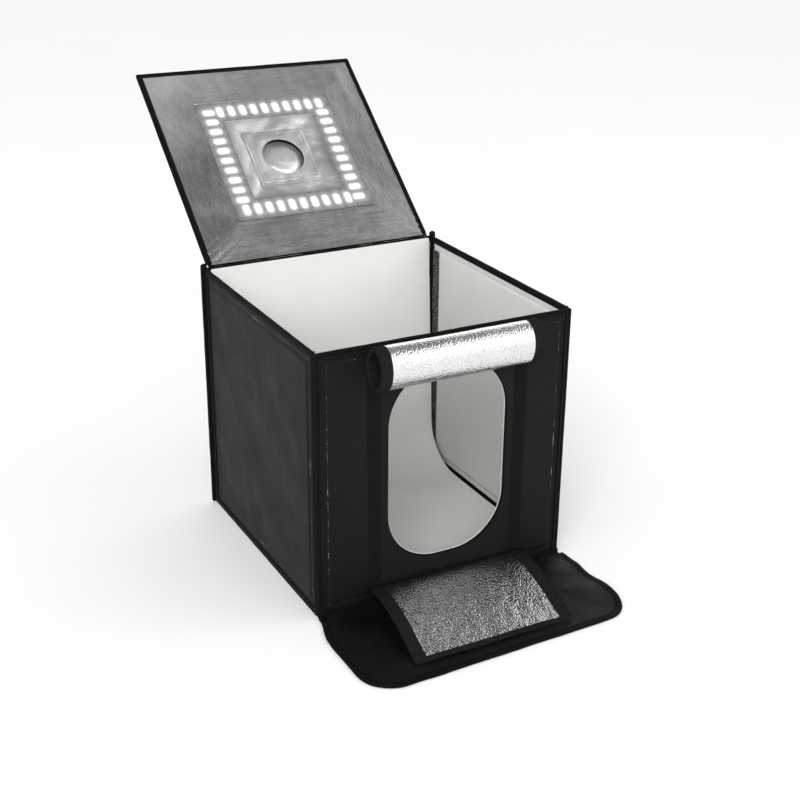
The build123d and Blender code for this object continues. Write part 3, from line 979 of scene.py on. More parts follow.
def rounded_ends(rings, reach):
    """Close a tube's two ends with a soft nose that reaches a little past them."""
    noses = []
    for end, before in ((rings[0], rings[1]), (rings[-1], rings[-2])):
        middle = end.mean(axis=0)
        way = middle - before.mean(axis=0)
        way = way / np.linalg.norm(way)
        noses.append([middle + way * reach * far + (end - middle) * fat
                      for far, fat in ((0.5, 0.86), (0.85, 0.52), (1.0, 0.15))])
    return np.concatenate([np.array(noses[0][::-1]), rings, np.array(noses[1])])


def sewn_edge(place, corners, middle, section, seed, closed=True, radius=3.5 * MM, turn=6, step=6 * MM,
              wobble=0.25 * MM, outward=False, nose=0.0, far_share=1.0):
    """A binding whose section follows an outline: how far in from the edge and how far off its middle.

    Along the outline's far side the binding has far_share of its width.
    """
    sign = -1 if outward else 1
    rings = []
    widest = max(inset for inset, off in section)
    end = max(v for u, v in corners)
    for inset, off in section:
        line = edge_line(corners, sign * inset, radius, step, turn, closed)
        away = edge_line(corners, sign * inset + 0.1 * MM, radius, step, turn, closed) - line
        run = np.concatenate([[0.0], np.cumsum(np.linalg.norm(np.diff(line, axis=0), axis=1))])
        lean = 1 - inset / widest
        uneven = waves(run, run * 0, seed, 90 * MM, 14 * MM, 10)
        twist = waves(run, run * 0, seed + 1, 60 * MM, 9 * MM, 10)
        long = np.maximum(np.linalg.norm(away, axis=1), 1e-9)[:, None]
        line = line + away / long * (0.5 * wobble * lean * (1 + uneven))[:, None]
        stretch = (end - far_share * sign * inset) / (end - sign * inset)
        rings.append(place(line[:, 0], line[:, 1] * stretch, middle + off * (1 + 0.05 * twist)))
    rings = np.stack(rings, axis=1)
    if not closed and nose:
        rings = rounded_ends(rings, nose)
    return tube(rings, closed)


def whole_section(side):
    """A section's near side and its mirror image, from the edge inwards and back."""
    side = np.array(side) * MM
    return np.concatenate([[(0.0, 0.0)], side, side[::-1] * (1, -1)])


WINDOW_SIDE = ((0.1, 1.2), (0.5, 1.9), (1.2, 2.25), (2.4, 2.3), (3.4, 2.2), (4.3, 2.05), (4.8, 1.7))


class TENT_OT_bindings(bpy.types.Operator):
    """Fold ribbed binding over the edges of the walls, the base and the window"""
    bl_idname = "tent.bindings"
    bl_label = "Edge bindings"

    def execute(self, context):
        section = whole_section(BINDING_SIDE)
        for n, name in enumerate(WALL_AXES):
            place = wall_place(name)
            middle = span(name + "_binding", place)[2]
            middle = (middle[0] + middle[1]) / 2
            seed = 100 + 7 * n
            if name == "back":
                ear = span("back_binding", place)[1][1] - 4 * MM
                wide, high = place.width, place.height
                sides = [(0, ear), (0, 0), (wide, 0), (wide, ear)]
                top = [(wide - 9 * MM, high), (9 * MM, high)]
                parts = [sewn_edge(place, sides, middle, section, seed, False, nose=4 * MM),
                         sewn_edge(place, top, middle, section, seed + 3, False)]
            else:
                parts = [sewn_edge(place, full(place), middle, section, seed)]
            trim(name + "_edge_binding", [name + "_binding"], parts, "binding", WALL_BODY[name])
        place = wall_place("front")
        low, high = span("window_edging", place)[2]
        edge = sewn_edge(place, window_rectangle(place), (low + high) / 2, whole_section(WINDOW_SIDE), 171,
                         True, sizes().window_radius, 22, outward=True, wobble=0.1 * MM)
        trim("window_edge_binding", ["window_edging"], [edge], "binding", "base")
        return {"FINISHED"}


def tape(name, node, place, strips, look, body, seed=0):
    """Flat tapes as one piece that stands for a node."""
    parts = [tape_tube(place, u, v, t, "v" if v[1] - v[0] > u[1] - u[0] else "u", seed=seed + n)
             for n, (u, v, t) in enumerate(strips)]
    return trim(name, [node], parts, look, body)


def fringe(name, roots, way, spread, lengths, body, seed):
    """Frayed fibres that stand out from their roots."""
    draw = rng(seed)
    parts = []
    for root in roots:
        lean = np.array(way) + spread * draw.normal(size=3)
        lean = lean / np.linalg.norm(lean)
        side = np.cross(lean, (0.1, 0.3, 0.95))
        side = side / np.linalg.norm(side)
        up = np.cross(side, lean)
        length = draw.uniform(*lengths)
        droop = np.array((0, 0, -0.4 * length))
        rings = [[root + lean * length * far + droop * far ** 2 + FIBRE * fat * (side * cos(a) + up * sin(a))
                  for a in (0, 2 * pi / 3, 4 * pi / 3)] for far, fat in ((0, 1), (0.5, 0.8), (1, 0.3))]
        parts.append(tube(np.array(rings), False))
    trim(name, (), parts, "hook_tape", body)


FIBRE = 0.13 * MM  # half a frayed fibre's thickness
EDGE_FIBRES = 420
CORNER_FIBRES = 70


class TENT_OT_fringes(bpy.types.Operator):
    """Fray the front corners, where the hook tapes reach the edge"""
    bl_idname = "tent.fringes"
    bl_label = "Frayed corners"

    def execute(self, context):
        draw = rng(1201)
        for name, side in (("left", -1), ("right", 1)):
            body = name + "_wall"
            wall = corners_of(name + "_binding")
            x, y, top = side * np.abs(wall[:, 0]).max(), wall[:, 1].min(), wall[:, 2].max()
            sunk = 0.4 * MM
            heights = draw.uniform(0.02, top - 5 * MM, EDGE_FIBRES)
            depths = draw.uniform(0.5 * MM, 4 * MM, len(heights))
            roots = [np.array((x - side * sunk, y + depth, z)) for depth, z in zip(depths, heights)]
            fringe(body + "_fringe", roots, (side, -0.3, 0), 0.45, (0.8 * MM, 2.0 * MM), body, 1203)
            roots = [np.array((x - side * draw.uniform(0.5, 6) * MM, y + draw.uniform(0.5, 7) * MM, top - sunk))
                     for n in range(CORNER_FIBRES)]
            fringe(name + "_corner_tuft", roots, (0, -0.2, 1), 0.5, (0.8 * MM, 2.4 * MM), body, 1207)
        return {"FINISHED"}


class TENT_OT_tapes(bpy.types.Operator):
    """Sew the hook and loop tapes to the walls"""
    bl_idname = "tent.tapes"
    bl_label = "Hook and loop tapes"

    def execute(self, context):
        front = wall_place("front")
        for side in ("left", "right"):
            u, v, t = span("window_loop_strip_" + side, front)
            t = (t[0] - 0.2 * MM, t[1] + 0.5 * MM)
            tape("window_loop_tape_" + side, "window_loop_strip_" + side, front, [(u, v, t)], "loop_tape",
                 "base", 200)
            place = wall_place(side)
            for end in ("rear", "front"):
                node = side + "_" + end + "_hook_tape"
                tape(node + "_strip", node, place, [span(node, place)], "corner_hook_tape", side + "_wall",
                     210)
        u, v, t = span("front_corner_tape", front)
        wide = 20 * MM
        ends = [((u[0], u[0] + wide), v, t), ((u[1] - wide, u[1]), v, t)]
        tape("front_corner_loop_tape", "front_corner_tape", front, ends, "loop_tape", "base", 220)
        back = wall_place("back")
        tape("back_wall_loop_tape", "back_loop_tape", back, [span("back_loop_tape", back)], "loop_tape",
             "back_wall", 230)
        tape("backdrop_hook_strip", "backdrop_hook_tape", back, [span("backdrop_hook_tape", back)],
             "hook_tape", "back_wall", 240)
        u, v, t = span("front_hinge_tapes", front)
        flap = span("lower_flap_border", front)
        apron = span("apron_binding", front)
        thick = 0.7 * MM
        outside = (t[1] - thick, t[1])
        seams = [(flap[0], (v[1] - 10 * MM, v[1]), outside),
                 ((max(apron[0][0], 0), min(apron[0][1], front.width)), (thick, 12 * MM), outside)]
        tape("front_hinge_strips", "front_hinge_tapes", front, seams, "binding", "base", 250)
        return {"FINISHED"}


def rounded_curve(points, radii, step):
    """A line through points in a plane with its corners rounded."""
    points = [np.array(p, float) for p in points]
    line = [points[0]]
    for n in range(1, len(points) - 1):
        before, corner, after = points[n - 1], points[n], points[n + 1]
        a, b = (before - corner), (after - corner)
        a, b = a / np.linalg.norm(a), b / np.linalg.norm(b)
        half = np.arccos(np.clip(a @ b, -1, 1)) / 2
        cut = radii[n - 1] / np.tan(half)
        first, last = corner + a * cut, corner + b * cut
        centre = corner + (a + b) / np.linalg.norm(a + b) * radii[n - 1] / np.sin(half)
        count = max(4, int((pi - 2 * half) * radii[n - 1] / step))
        start, end = first - centre, last - centre
        for share in np.linspace(0, 1, count + 1):
            way = start * (1 - share) + end * share
            line.append(centre + way / np.linalg.norm(way) * radii[n - 1])
    line.append(points[-1])
    fine = [line[0]]
    for point in line[1:]:
        gap = np.linalg.norm(point - fine[-1])
        pieces = max(1, int(gap / step))
        start = fine[-1]
        fine += [start + (point - start) * n / pieces for n in range(1, pieces + 1)]
    return np.array(fine)


class TENT_OT_backdrop(bpy.types.Operator):
    """Hang the white backdrop on the back wall and bend it along the floor"""
    bl_idname = "tent.backdrop"
    bl_label = "Backdrop"

    def execute(self, context):
        size = sizes()
        low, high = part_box("backdrop")
        thick = 0.8 * MM
        hang_y, floor_z = high.y - thick / 2, low.z + thick / 2
        grip = 20 * MM
        route = [(hang_y, high.z), (hang_y, high.z - grip), (hang_y - size.backdrop_foot, floor_z),
                 (low.y, floor_z)]
        curve = rounded_curve(route, (size.backdrop_bend, size.backdrop_bend), 4 * MM)
        place = CurvedPlace(curve)
        outline = rectangle(low.x, high.x, 0, place.length)

        def height(u, v):
            free = smooth_step(v, 0.03, 0.12)
            flat = 0.25 + 0.75 * (1 - smooth_step(v, 0.40, 0.48))
            return free * flat * 1.1 * MM * (1 + waves(u, v, 301, 0.30, 0.09, 8))

        loops = [edge_line(outline, 0, 3 * MM, 8 * MM, 4)]
        piece = cloth("backdrop_sheet", "backdrop", "backdrop_sheet", loops, 9 * MM, place, height, thick,
                      ["backdrop_sheet"])
        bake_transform(piece)
        return {"FINISHED"}


def lid_rise(u, v):
    """How far the silver lining stands off the lid, towards the inside."""
    size = sizes()
    far = np.maximum(np.abs(u), np.abs(v - ring_v))
    facet = 1 - np.clip((far - film_half) / (66 * MM), 0, 1)
    outer = size.film_rise * facet
    outer *= smooth_step(far, film_half - 1.5 * MM, film_half + 0.6 * MM)
    inner_reach = size.film_inner - far
    inner = (size.film_rise + 0.6 * MM) * (1 - 0.75 * np.clip(inner_reach / (26 * MM), 0, 1))
    inner *= smooth_step(inner_reach, -1.6 * MM, 0.2 * MM)
    folds = waves(u, v, 401, 0.11, 0.03, 9) + 0.6 * waves(u, v, 402, 0.05, 0.014, 9, 0.3, 1.2)
    slack = 0.42 * MM * smooth_step(np.abs(far - (film_half + size.film_inner) / 2), 20 * MM, 34 * MM)
    edge = np.minimum(np.minimum(lid_half - np.abs(u), lid_length - v), v + 4 * MM)
    slack = slack * smooth_step(edge, 8 * MM, 24 * MM)
    corner = np.exp(-(np.hypot(np.abs(u) - lid_half + 22 * MM, v - 16 * MM) / (20 * MM)) ** 2)
    gathers = np.sin((np.abs(u) * 0.6 + v) * 2 * pi / (13 * MM))
    crease = 1.1 * MM * corner * smooth_step(v, 3 * MM, 12 * MM) * gathers
    centre = np.exp(-((far - 62 * MM) / (14 * MM)) ** 2)
    pulled = 0.9 * MM * centre * waves(u, v, 403, 0.050, 0.022, 8)
    return outer + inner + slack * folds + crease + pulled


def ring_square(reach):
    """A square round the middle of the ring of lights."""
    return rectangle(-reach, reach, ring_v - reach, ring_v + reach)


def lid_lines():
    """Rows of points where the lining turns: round the film, and from its corners to the lid's."""
    size = sizes()
    lines = []
    for reach in (film_half - 1.6 * MM, film_half - 0.6 * MM, film_half + 0.6 * MM, film_half + 2 * MM,
                  size.film_inner + 1.5 * MM, size.film_inner + 0.6 * MM, size.film_inner - 0.4 * MM):
        lines.append(edge_line(ring_square(reach), 0, 0.3 * MM, 4 * MM, 1))
    for across in (-1, 1):
        for away in (-1, 1):
            share = np.linspace(0, 1, 18)[1:]
            start = np.array((across * (film_half + 3 * MM), ring_v + away * (film_half + 3 * MM)))
            end = start + 60 * MM * np.array((across, away))
            lines.append(start + (end - start) * share[:, None])
    return lines


# The hinge tape's section: a bead round the hinge's axis, then the tape along the lid and over its rear edge.
HINGE_BEAD = 1.25 * MM
HINGE_TAPE = (
    (2.6, 0.8), (8.5, 0.85), (8.85, 1.2), (8.85, 4.2), (9.1, 4.6), (14.0, 4.6), (14.3, 4.85), (14.0, 5.1),
    (8.9, 5.1), (8.3, 4.6), (8.3, 2.2), (7.8, 1.6), (2.8, 1.6),
)


def three_sides(start):
    """The lid's two sides and its free end, from a distance off its hinge."""
    return [(lid_half, start), (lid_half, lid_length), (-lid_half, lid_length), (-lid_half, start)]


class TENT_OT_lid_cloth(bpy.types.Operator):
    """Cover the lid with its silver lining, its outer cloth, its binding and the patch round the port"""
    bl_idname = "tent.lid_cloth"
    bl_label = "Lid cloth"

    def execute(self, context):
        size = sizes()
        port = (0.0, ring_v)
        start = lid_span("lid_lining", lid_v)[0]
        side, end = lid_half - CLOTH_INSET, lid_length - CLOTH_INSET
        outline = rectangle(-side, side, start, end)
        hole = circle(port, size.port_radius + 0.9 * MM, 3.5 * MM)

        def lining_level(u, v):
            return 0.4 * MM - lid_rise(u, v)

        loops = [edge_line(outline, 0, 1 * MM, 4 * MM, 2), hole]
        piece = cloth("lid_silver_lining", "lid_lining", "silver", loops, 4.2 * MM, lid_place, lining_level,
                      size.cloth, ["lid_silver"], "lid", lid_lines())

        skin_start = lid_span("lid_skin", lid_v)[0]
        outline = rectangle(-side, side, skin_start, end)
        jack = span("power_jack", lid_place)
        clear = 0.3 * MM
        around = rectangle(jack[0][0] - clear, jack[0][1] + clear, jack[1][0] - clear, jack[1][1] + clear)
        jack_hole = edge_line(around, 0, 0.8 * MM, 3 * MM, 2)
        skin_t = lid_span("lid_skin", lid_t)
        level = (skin_t[0] + skin_t[1]) / 2

        def skin_level(u, v):
            edge = np.minimum(np.minimum(lid_half - np.abs(u), lid_length - v), v - skin_start + 9 * MM)
            near_port = smooth_step(np.maximum(np.abs(u), np.abs(v - ring_v)), 52 * MM, 90 * MM)
            near_jack = smooth_step(np.hypot(u, v - 24 * MM), 12 * MM, 40 * MM)
            free = smooth_step(edge, 9 * MM, 50 * MM) * near_port * near_jack
            folds = waves(u, v, 411, 0.15, 0.05, 9, 0.6, 1.2) + 0.4 * waves(u, v, 412, 0.06, 0.025, 8)
            return level + size.sag * free * (0.5 + 0.5 * np.clip(folds, -1, 1))

        loops = [edge_line(outline, 0, 1 * MM, 6 * MM, 2), hole, jack_hole]
        piece = cloth("lid_outer_cloth", "lid_skin", "nylon", loops, size.pitch, lid_place, skin_level,
                      size.cloth, ["nylon"], "lid")

        layers = lid_span("lid_binding", lid_t)
        seam = lid_span("lid_binding", lid_v)[0] - 3 * MM
        middle = (layers[0] + layers[1]) / 2
        edge = sewn_edge(lid_place, three_sides(seam), middle, whole_section(BINDING_SIDE), 421, False,
                         nose=1.5 * MM)
        trim("lid_edge_binding", ["lid_binding"], [edge], "binding", "lid")

        patch = span("port_patch", lid_place)
        patch_rise = 0.55 * MM

        def patch_level(u, v):
            gap = np.hypot(u - port[0], v - port[1]) - size.port_radius
            square = np.maximum(np.abs(u), np.abs(v - ring_v))
            folds = waves(u, v, 431, 0.05, 0.018, 9)
            seams = sum(np.exp(-((square - reach * MM) / (1.2 * MM)) ** 2) for reach in (51, 44))
            puff = 0.9 * MM * smooth_step(gap, 1 * MM, 9 * MM) * (1 + 0.5 * folds)
            return -patch_rise - lid_rise(u, v) * 0.9 - puff + 0.22 * MM * seams

        square = rectangle(*patch[0], *patch[1])
        wide, long = patch[0][1] - patch[0][0], patch[1][1] - patch[1][0]
        ring = circle(port, size.port_radius + 0.1 * MM, 2.6 * MM)
        rows = [edge_line(square, x * MM, 1.5 * MM, 3 * MM, 2) for x in (2.6, 4, 5.4, 9.6, 11, 12.4)]
        loops = [edge_line(square, 0, 2 * MM, 3 * MM, 3), ring]
        piece = cloth("port_patch_cloth", "port_patch", "silver", loops, 3 * MM, lid_place, patch_level,
                      size.cloth, ["lid_silver"], "lid", rows)
        wide * long - pi * size.port_radius ** 2

        corner = 12 * MM
        edge = edge_line(three_sides(corner), BINDING_THREAD, 8 * MM, 6 * MM, 2, False)
        parts = [part for level in (middle - 2.6 * MM, middle + BINDING_GROOVE)
                 for part in stitch_parts(lid_place, edge, level, closed=False)]
        hinge_line = np.array([(u, 7.0 * MM) for u in np.linspace(-lid_half + corner, lid_half - corner, 60)])
        parts += stitch_parts(lid_place, hinge_line, lambda u, v: lining_level(u, v) - 0.65 * MM, 3.2 * MM,
                              2.2 * MM, 0.4 * MM, closed=False)
        for inset in (3.4 * MM, 10.6 * MM):
            seam_line = edge_line(square, inset, 1.5 * MM, 3 * MM, 2)
            parts += stitch_parts(lid_place, seam_line, lambda u, v: patch_level(u, v) - 0.55 * MM,
                                  thick=0.25 * MM)
        trim("lid_thread", (), parts, "thread", "lid")

        low, high = lid_span("port_edging", lid_t)
        angles = np.arange(96) * 2 * pi / 96
        section = (
            (0.2, low + 0.5 * MM), (0.2, high - 0.4 * MM), (0.5, high), (1.2, high), (1.6, high - 0.4 * MM),
            (1.6, low + 0.5 * MM), (1.2, low + 0.2 * MM), (0.5, low + 0.2 * MM))
        across, along = np.cos(angles), np.sin(angles)
        rings = [lid_place((size.port_radius + x * MM) * across, ring_v + (size.port_radius + x * MM) * along, level)
                 for x, level in section]
        trim("port_sleeve", ["port_edging"], [tube(np.stack(rings, axis=1), True)], "binding", "lid")

        run = np.linspace(-lid_half + 2 * MM, lid_half - 2 * MM, 90)
        bead = HINGE_BEAD
        section = [(bead * cos(a), bead * sin(a)) for a in np.linspace(0.7, 2 * pi - 0.25, 12)]
        section += [(v * MM, t * MM) for v, t in HINGE_TAPE]
        sway = abs(0.12 * MM * waves(run, run * 0, 441, 30 * MM, 8 * MM, 8))
        rings = [lid_place(run, v, t + sway * min(1.0, abs(v) / (3 * MM))) for v, t in section]
        trim("lid_hinge_seam", ["lid_hinge_tape"], [tube(np.stack(rings, axis=1), False)], "binding",
             "lid")
        return {"FINISHED"}


class TENT_OT_lights(bpy.types.Operator):
    """Lay the milky film over the ring of lights and finish the lights, their boards and the power inlet"""
    bl_idname = "tent.lights"
    bl_label = "Lights"

    def execute(self, context):
        size = sizes()
        level = 0.4 * MM - size.film_rise

        def height(u, v):
            far = np.maximum(np.abs(u), np.abs(v - ring_v))
            edge = np.minimum(film_half - far, far - size.film_inner)
            curl = 1 - smooth_step(edge, 0, 5 * MM)
            return level - 0.45 * MM - 0.3 * MM * waves(u, v, 501, 0.05, 0.015, 9) + 0.4 * MM * curl

        loops = [edge_line(ring_square(film_half), 0, 2 * MM, 4 * MM, 3),
                 edge_line(ring_square(size.film_inner), 0, 1 * MM, 4 * MM, 2)]
        piece = cloth("light_film", "diffuser_film", "diffuser", loops, 4 * MM, lid_place, height, 0.5 * MM,
                      ["diffuser"], "lid")
        wide = 2 * film_half
        wide ** 2 - 4 * size.film_inner ** 2
        for node, look in (
            ("light_boards", "light_boards"), ("lights", "light_face"), ("power_jack", "moulded"),
            ("jack_pin", "plated"), ("light_lead", "lead"),
        ):
            dress(node, look)
        return {"FINISHED"}


def dress(node, look):
    """Give a node of the frame its finish."""
    mesh = frame["nodes"][node].data
    mesh.materials.clear()
    mesh.materials.append(finish(look))


class TENT_OT_port_flap(bpy.types.Operator):
    """Hang the port's flap and its tapes on the outside of the lid"""
    bl_idname = "tent.port_flap"
    bl_label = "Port flap"

    def execute(self, context):
        u, v, t = span("port_flap", lid_place)
        level = (t[0] + t[1]) / 2
        outline = rectangle(*u, *v)

        def height(a, b):
            far = np.hypot(a, b - ring_v)
            bulge = 1 - smooth_step(far, 22 * MM, 34 * MM)
            fold = (b - ring_v + 7 * MM + 0.3 * a) / (8 * MM)
            dent = np.exp(-fold ** 2 - ((a - 4 * MM) / (17 * MM)) ** 2)
            folds = waves(a, b, 601, 0.06, 0.02, 8)
            free = 1 - smooth_step(far, 24 * MM, 36 * MM)
            return level - 3.4 * MM * bulge + 0.5 * MM * folds * free - 2.0 * MM * dent

        loops = [edge_line(outline, 0, 3 * MM, 4 * MM, 4)]
        piece = cloth("port_flap_cloth", "port_flap", "silver", loops, 4 * MM, lid_place, height,
                      t[1] - t[0] - 0.1 * MM, ["nylon", "lid_silver"], "port_flap")
        wide = 12 * MM
        for node, body, look, name in (
            ("port_loop_tape", "lid", "loop_tape", "port_loop_strips"),
            ("port_flap_hook_tape", "port_flap", "hook_tape", "port_flap_hook_strips"),
        ):
            u, v, t = span(node, lid_place)
            strips = [(u, (v[0], v[0] + wide), t), ((u[0], u[0] + wide), (v[0] + wide, v[1]), t),
                      ((u[1] - wide, u[1]), (v[0] + wide, v[1]), t)]
            tape(name, node, lid_place, strips, look, body, 610)
        tape("port_flap_hinge_strip", "port_flap_hinge_tape", lid_place,
             [span("port_flap_hinge_tape", lid_place)], "binding", "lid", 620)
        return {"FINISHED"}


def roll_curve():
    """The rolled flap's line in Y and Z: down behind the roll, under it, up its front and round again."""
    size = sizes()
    low, high = (np.array(c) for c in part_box("upper_flap_roll"))
    centre = (low + high)[1:] / 2
    half = (high - low)[1:] / 2 - 1.3 * MM
    axis = np.array(joints["upper_flap_lift"]["pos_m"])[1:]
    seam = np.array((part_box("upper_flap_tab")[1].y, axis[1]))
    angles = -np.linspace(0, 2 * pi * size.roll_turns, int(90 * size.roll_turns))
    shrink = size.roll_step * -angles / (2 * pi)
    coil = np.stack([centre[0] + (half[0] - shrink) * np.cos(angles),
                     centre[1] + (half[1] - shrink) * np.sin(angles)], axis=1)
    lead = []
    pull = np.array((0, 0.010))
    for s in np.linspace(0, 1, 9)[:-1]:
        first, second, third = seam, coil[0] + pull, coil[0]
        lead.append((1 - s) ** 2 * first + 2 * s * (1 - s) * second + s ** 2 * third)
    return np.concatenate([np.array(lead), coil])


class TENT_OT_upper_flap(bpy.types.Operator):
    """Roll up the flap that closes the window from above"""
    bl_idname = "tent.upper_flap"
    bl_label = "Rolled flap"

    def execute(self, context):
        size = sizes()
        place = CurvedPlace(roll_curve())
        left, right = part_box("roll_border_left")[0].x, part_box("roll_border_right")[1].x
        border = size.roll_border
        outline = rectangle(left + border - 2 * MM, right - border + 2 * MM, 0, place.length)

        def height(u, v):
            return 0.35 * MM * waves(u, v, 701, 0.12, 0.04, 8)

        loops = [edge_line(outline, 0, 1 * MM, 5 * MM, 2)]
        piece = cloth("upper_flap_cloth", "upper_flap_roll", "silver", loops, 4 * MM, place, height, 1.1 * MM,
                      ["nylon", "pebbled_silver"], "rolled_flap")
        for side, u0, u1 in (("left", left, left + border), ("right", right - border, right)):
            edge = (u0, u0 + 3 * MM) if side == "left" else (u1 - 3 * MM, u1)
            parts = [tape_tube(place, (u0, u1), (0, place.length), (-1.1 * MM, 1.1 * MM), "v", 4 * MM, 710),
                     tape_tube(place, edge, (0, place.length), (-1.5 * MM, 1.5 * MM), "v", 4 * MM, 711)]
            trim("upper_flap_border_" + side, ["roll_border_" + side], parts,
                                "hook_tape", "rolled_flap")
        low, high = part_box("upper_flap_tab")
        top = Place((0, high.y, 0), (1, 0, 0), (0, -1, 0), (0, 0, 1), (right - left, high.y - low.y))
        strip = ((left, right), (0.0, 9 * MM), (low.z, high.z))
        tab = tape("upper_flap_seam", "upper_flap_tab", top, [strip], "binding", "rolled_flap", 720)
        (outline[1][0] - outline[0][0]) * place.length
        return {"FINISHED"}


FLAP_LENGTH = 0.168
FLAP_BORDER_SIDE = (
    (0.1, 0.55), (0.5, 1.0), (1.4, 1.3), (2.6, 1.3), (3.1, 0.95), (3.7, 0.95), (5.5, 1.05),
    (10, 1.0), (15, 1.05), (17.2, 1.0), (17.8, 0.8), (18.4, 0.98), (19.4, 0.9), (20, 0.55),
)


def flap_curve():
    """The lower flap's line in Y and Z: from its seam, over an arch and down to the apron."""
    size = sizes()
    axis = joints["lower_flap_fold"]["pos_m"]
    low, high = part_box("lower_flap_border")
    reach = axis[1] - low.y
    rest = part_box("apron_binding")[1].z + 2.6 * MM
    start, end = np.array((axis[1], axis[2])), np.array((low.y + 2 * MM, rest))
    rise = size.flap_arch
    second = start + np.array((-0.22 * reach, rise))
    third = start + (end - start) * 0.66 + np.array((0, rise * 0.62))
    s = np.linspace(0, 1, 50)[:, None]
    return (1 - s) ** 3 * start + 3 * s * (1 - s) ** 2 * second + 3 * s ** 2 * (1 - s) * third + s ** 3 * end


class TENT_OT_lower_flap(bpy.types.Operator):
    """Lay the lower flap open over the apron"""
    bl_idname = "tent.lower_flap"
    bl_label = "Lower flap"

    def execute(self, context):
        size = sizes()
        low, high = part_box("lower_flap_border")
        border = size.flap_border

        def lift(u, v):
            side = np.clip((u - low.x) / (high.x - low.x), 0, 1)
            bow = 2.4 * MM * (1 - side) ** 2 * np.sin(np.clip(v / FLAP_LENGTH, 0, 1) * pi)
            ripple = 1.0 * MM * waves(u, v, 801, 0.13, 0.05, 8) * smooth_step(v, 0.02, 0.07)
            return bow + ripple * (1 - 0.6 * smooth_step(v, 0.13, FLAP_LENGTH)) + 0.5 * MM

        place = CurvedPlace(flap_curve(), size.flap_skew, lift)
        end = place.length
        front_share = 0.45
        outline = rectangle(low.x + border - 2 * MM, high.x - border + 2 * MM, 0.5 * MM,
                            end - front_share * border + 2 * MM)
        loops = [edge_line(outline, 0, 1 * MM, 4 * MM, 2)]
        piece = cloth("lower_flap_cloth", "lower_flap", "silver", loops, 3.6 * MM, place,
                      lambda u, v: 0.35 * MM * waves(u, v, 803, 0.03, 0.011, 10), 1.0 * MM,
                      ["flap_silver", "nylon"], "lower_flap")
        corners = [(high.x, 0.5 * MM), (high.x, end), (low.x, end), (low.x, 0.5 * MM)]
        edge = sewn_edge(place, corners, 0.0, whole_section(FLAP_BORDER_SIDE), 811, False, 8 * MM, 6, 4 * MM,
                         0.5 * MM, far_share=front_share)
        border = trim("lower_flap_hook_border", ["lower_flap_border"], [edge], "hook_tape",
                      "lower_flap")
        hinge = np.array(joints["lower_flap_fold"]["pos_m"])
        slope = np.array((low.y, low.z)) - hinge[1:]
        slope = slope / np.linalg.norm(slope)
        for fold in (piece, border):
            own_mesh(fold)
        (outline[1][0] - outline[0][0]) * (outline[2][1] - outline[0][1])
        return {"FINISHED"}


APRON_SIDE = (
    (0.15, 0.8), (0.8, 1.35), (2.2, 1.62), (5, 1.66), (8.2, 1.6), (9.2, 1.35), (9.8, 1.35), (10.6, 1.58),
    (11.6, 1.45), (12.2, 0.9),
)


class ApronPlace:
    """The apron's axes: u along X, v away from the front wall along the ground, t up."""

    def __init__(self, rear):
        self.rear = rear

    def __call__(self, u, v, t):
        u, v, t = np.broadcast_arrays(u, v, t)
        side = np.clip(u / 0.2, -1.1, 1.1)
        reach = v * (1 - 0.028 * side - 0.006)
        sway = 1.1 * MM * smooth_step(u, 0.13, 0.2) * np.sin(v * 2 * pi / 0.085) * smooth_step(v, 0.01, 0.05)
        sway = sway + 13 * MM * smooth_step(-u, 0.10, 0.21) * (1 - smooth_step(v, 0, 0.062))
        curl = 4.5 * MM * smooth_step(u, 0.15, 0.21) * (0.5 + 0.5 * np.sin(v * 2 * pi / 0.11 + 0.6))
        curl = curl * smooth_step(v, 0.02, 0.06) * (1 - smooth_step(v, 0.15, 0.19))
        return np.stack([u + sway, self.rear - reach, t + curl], axis=-1)


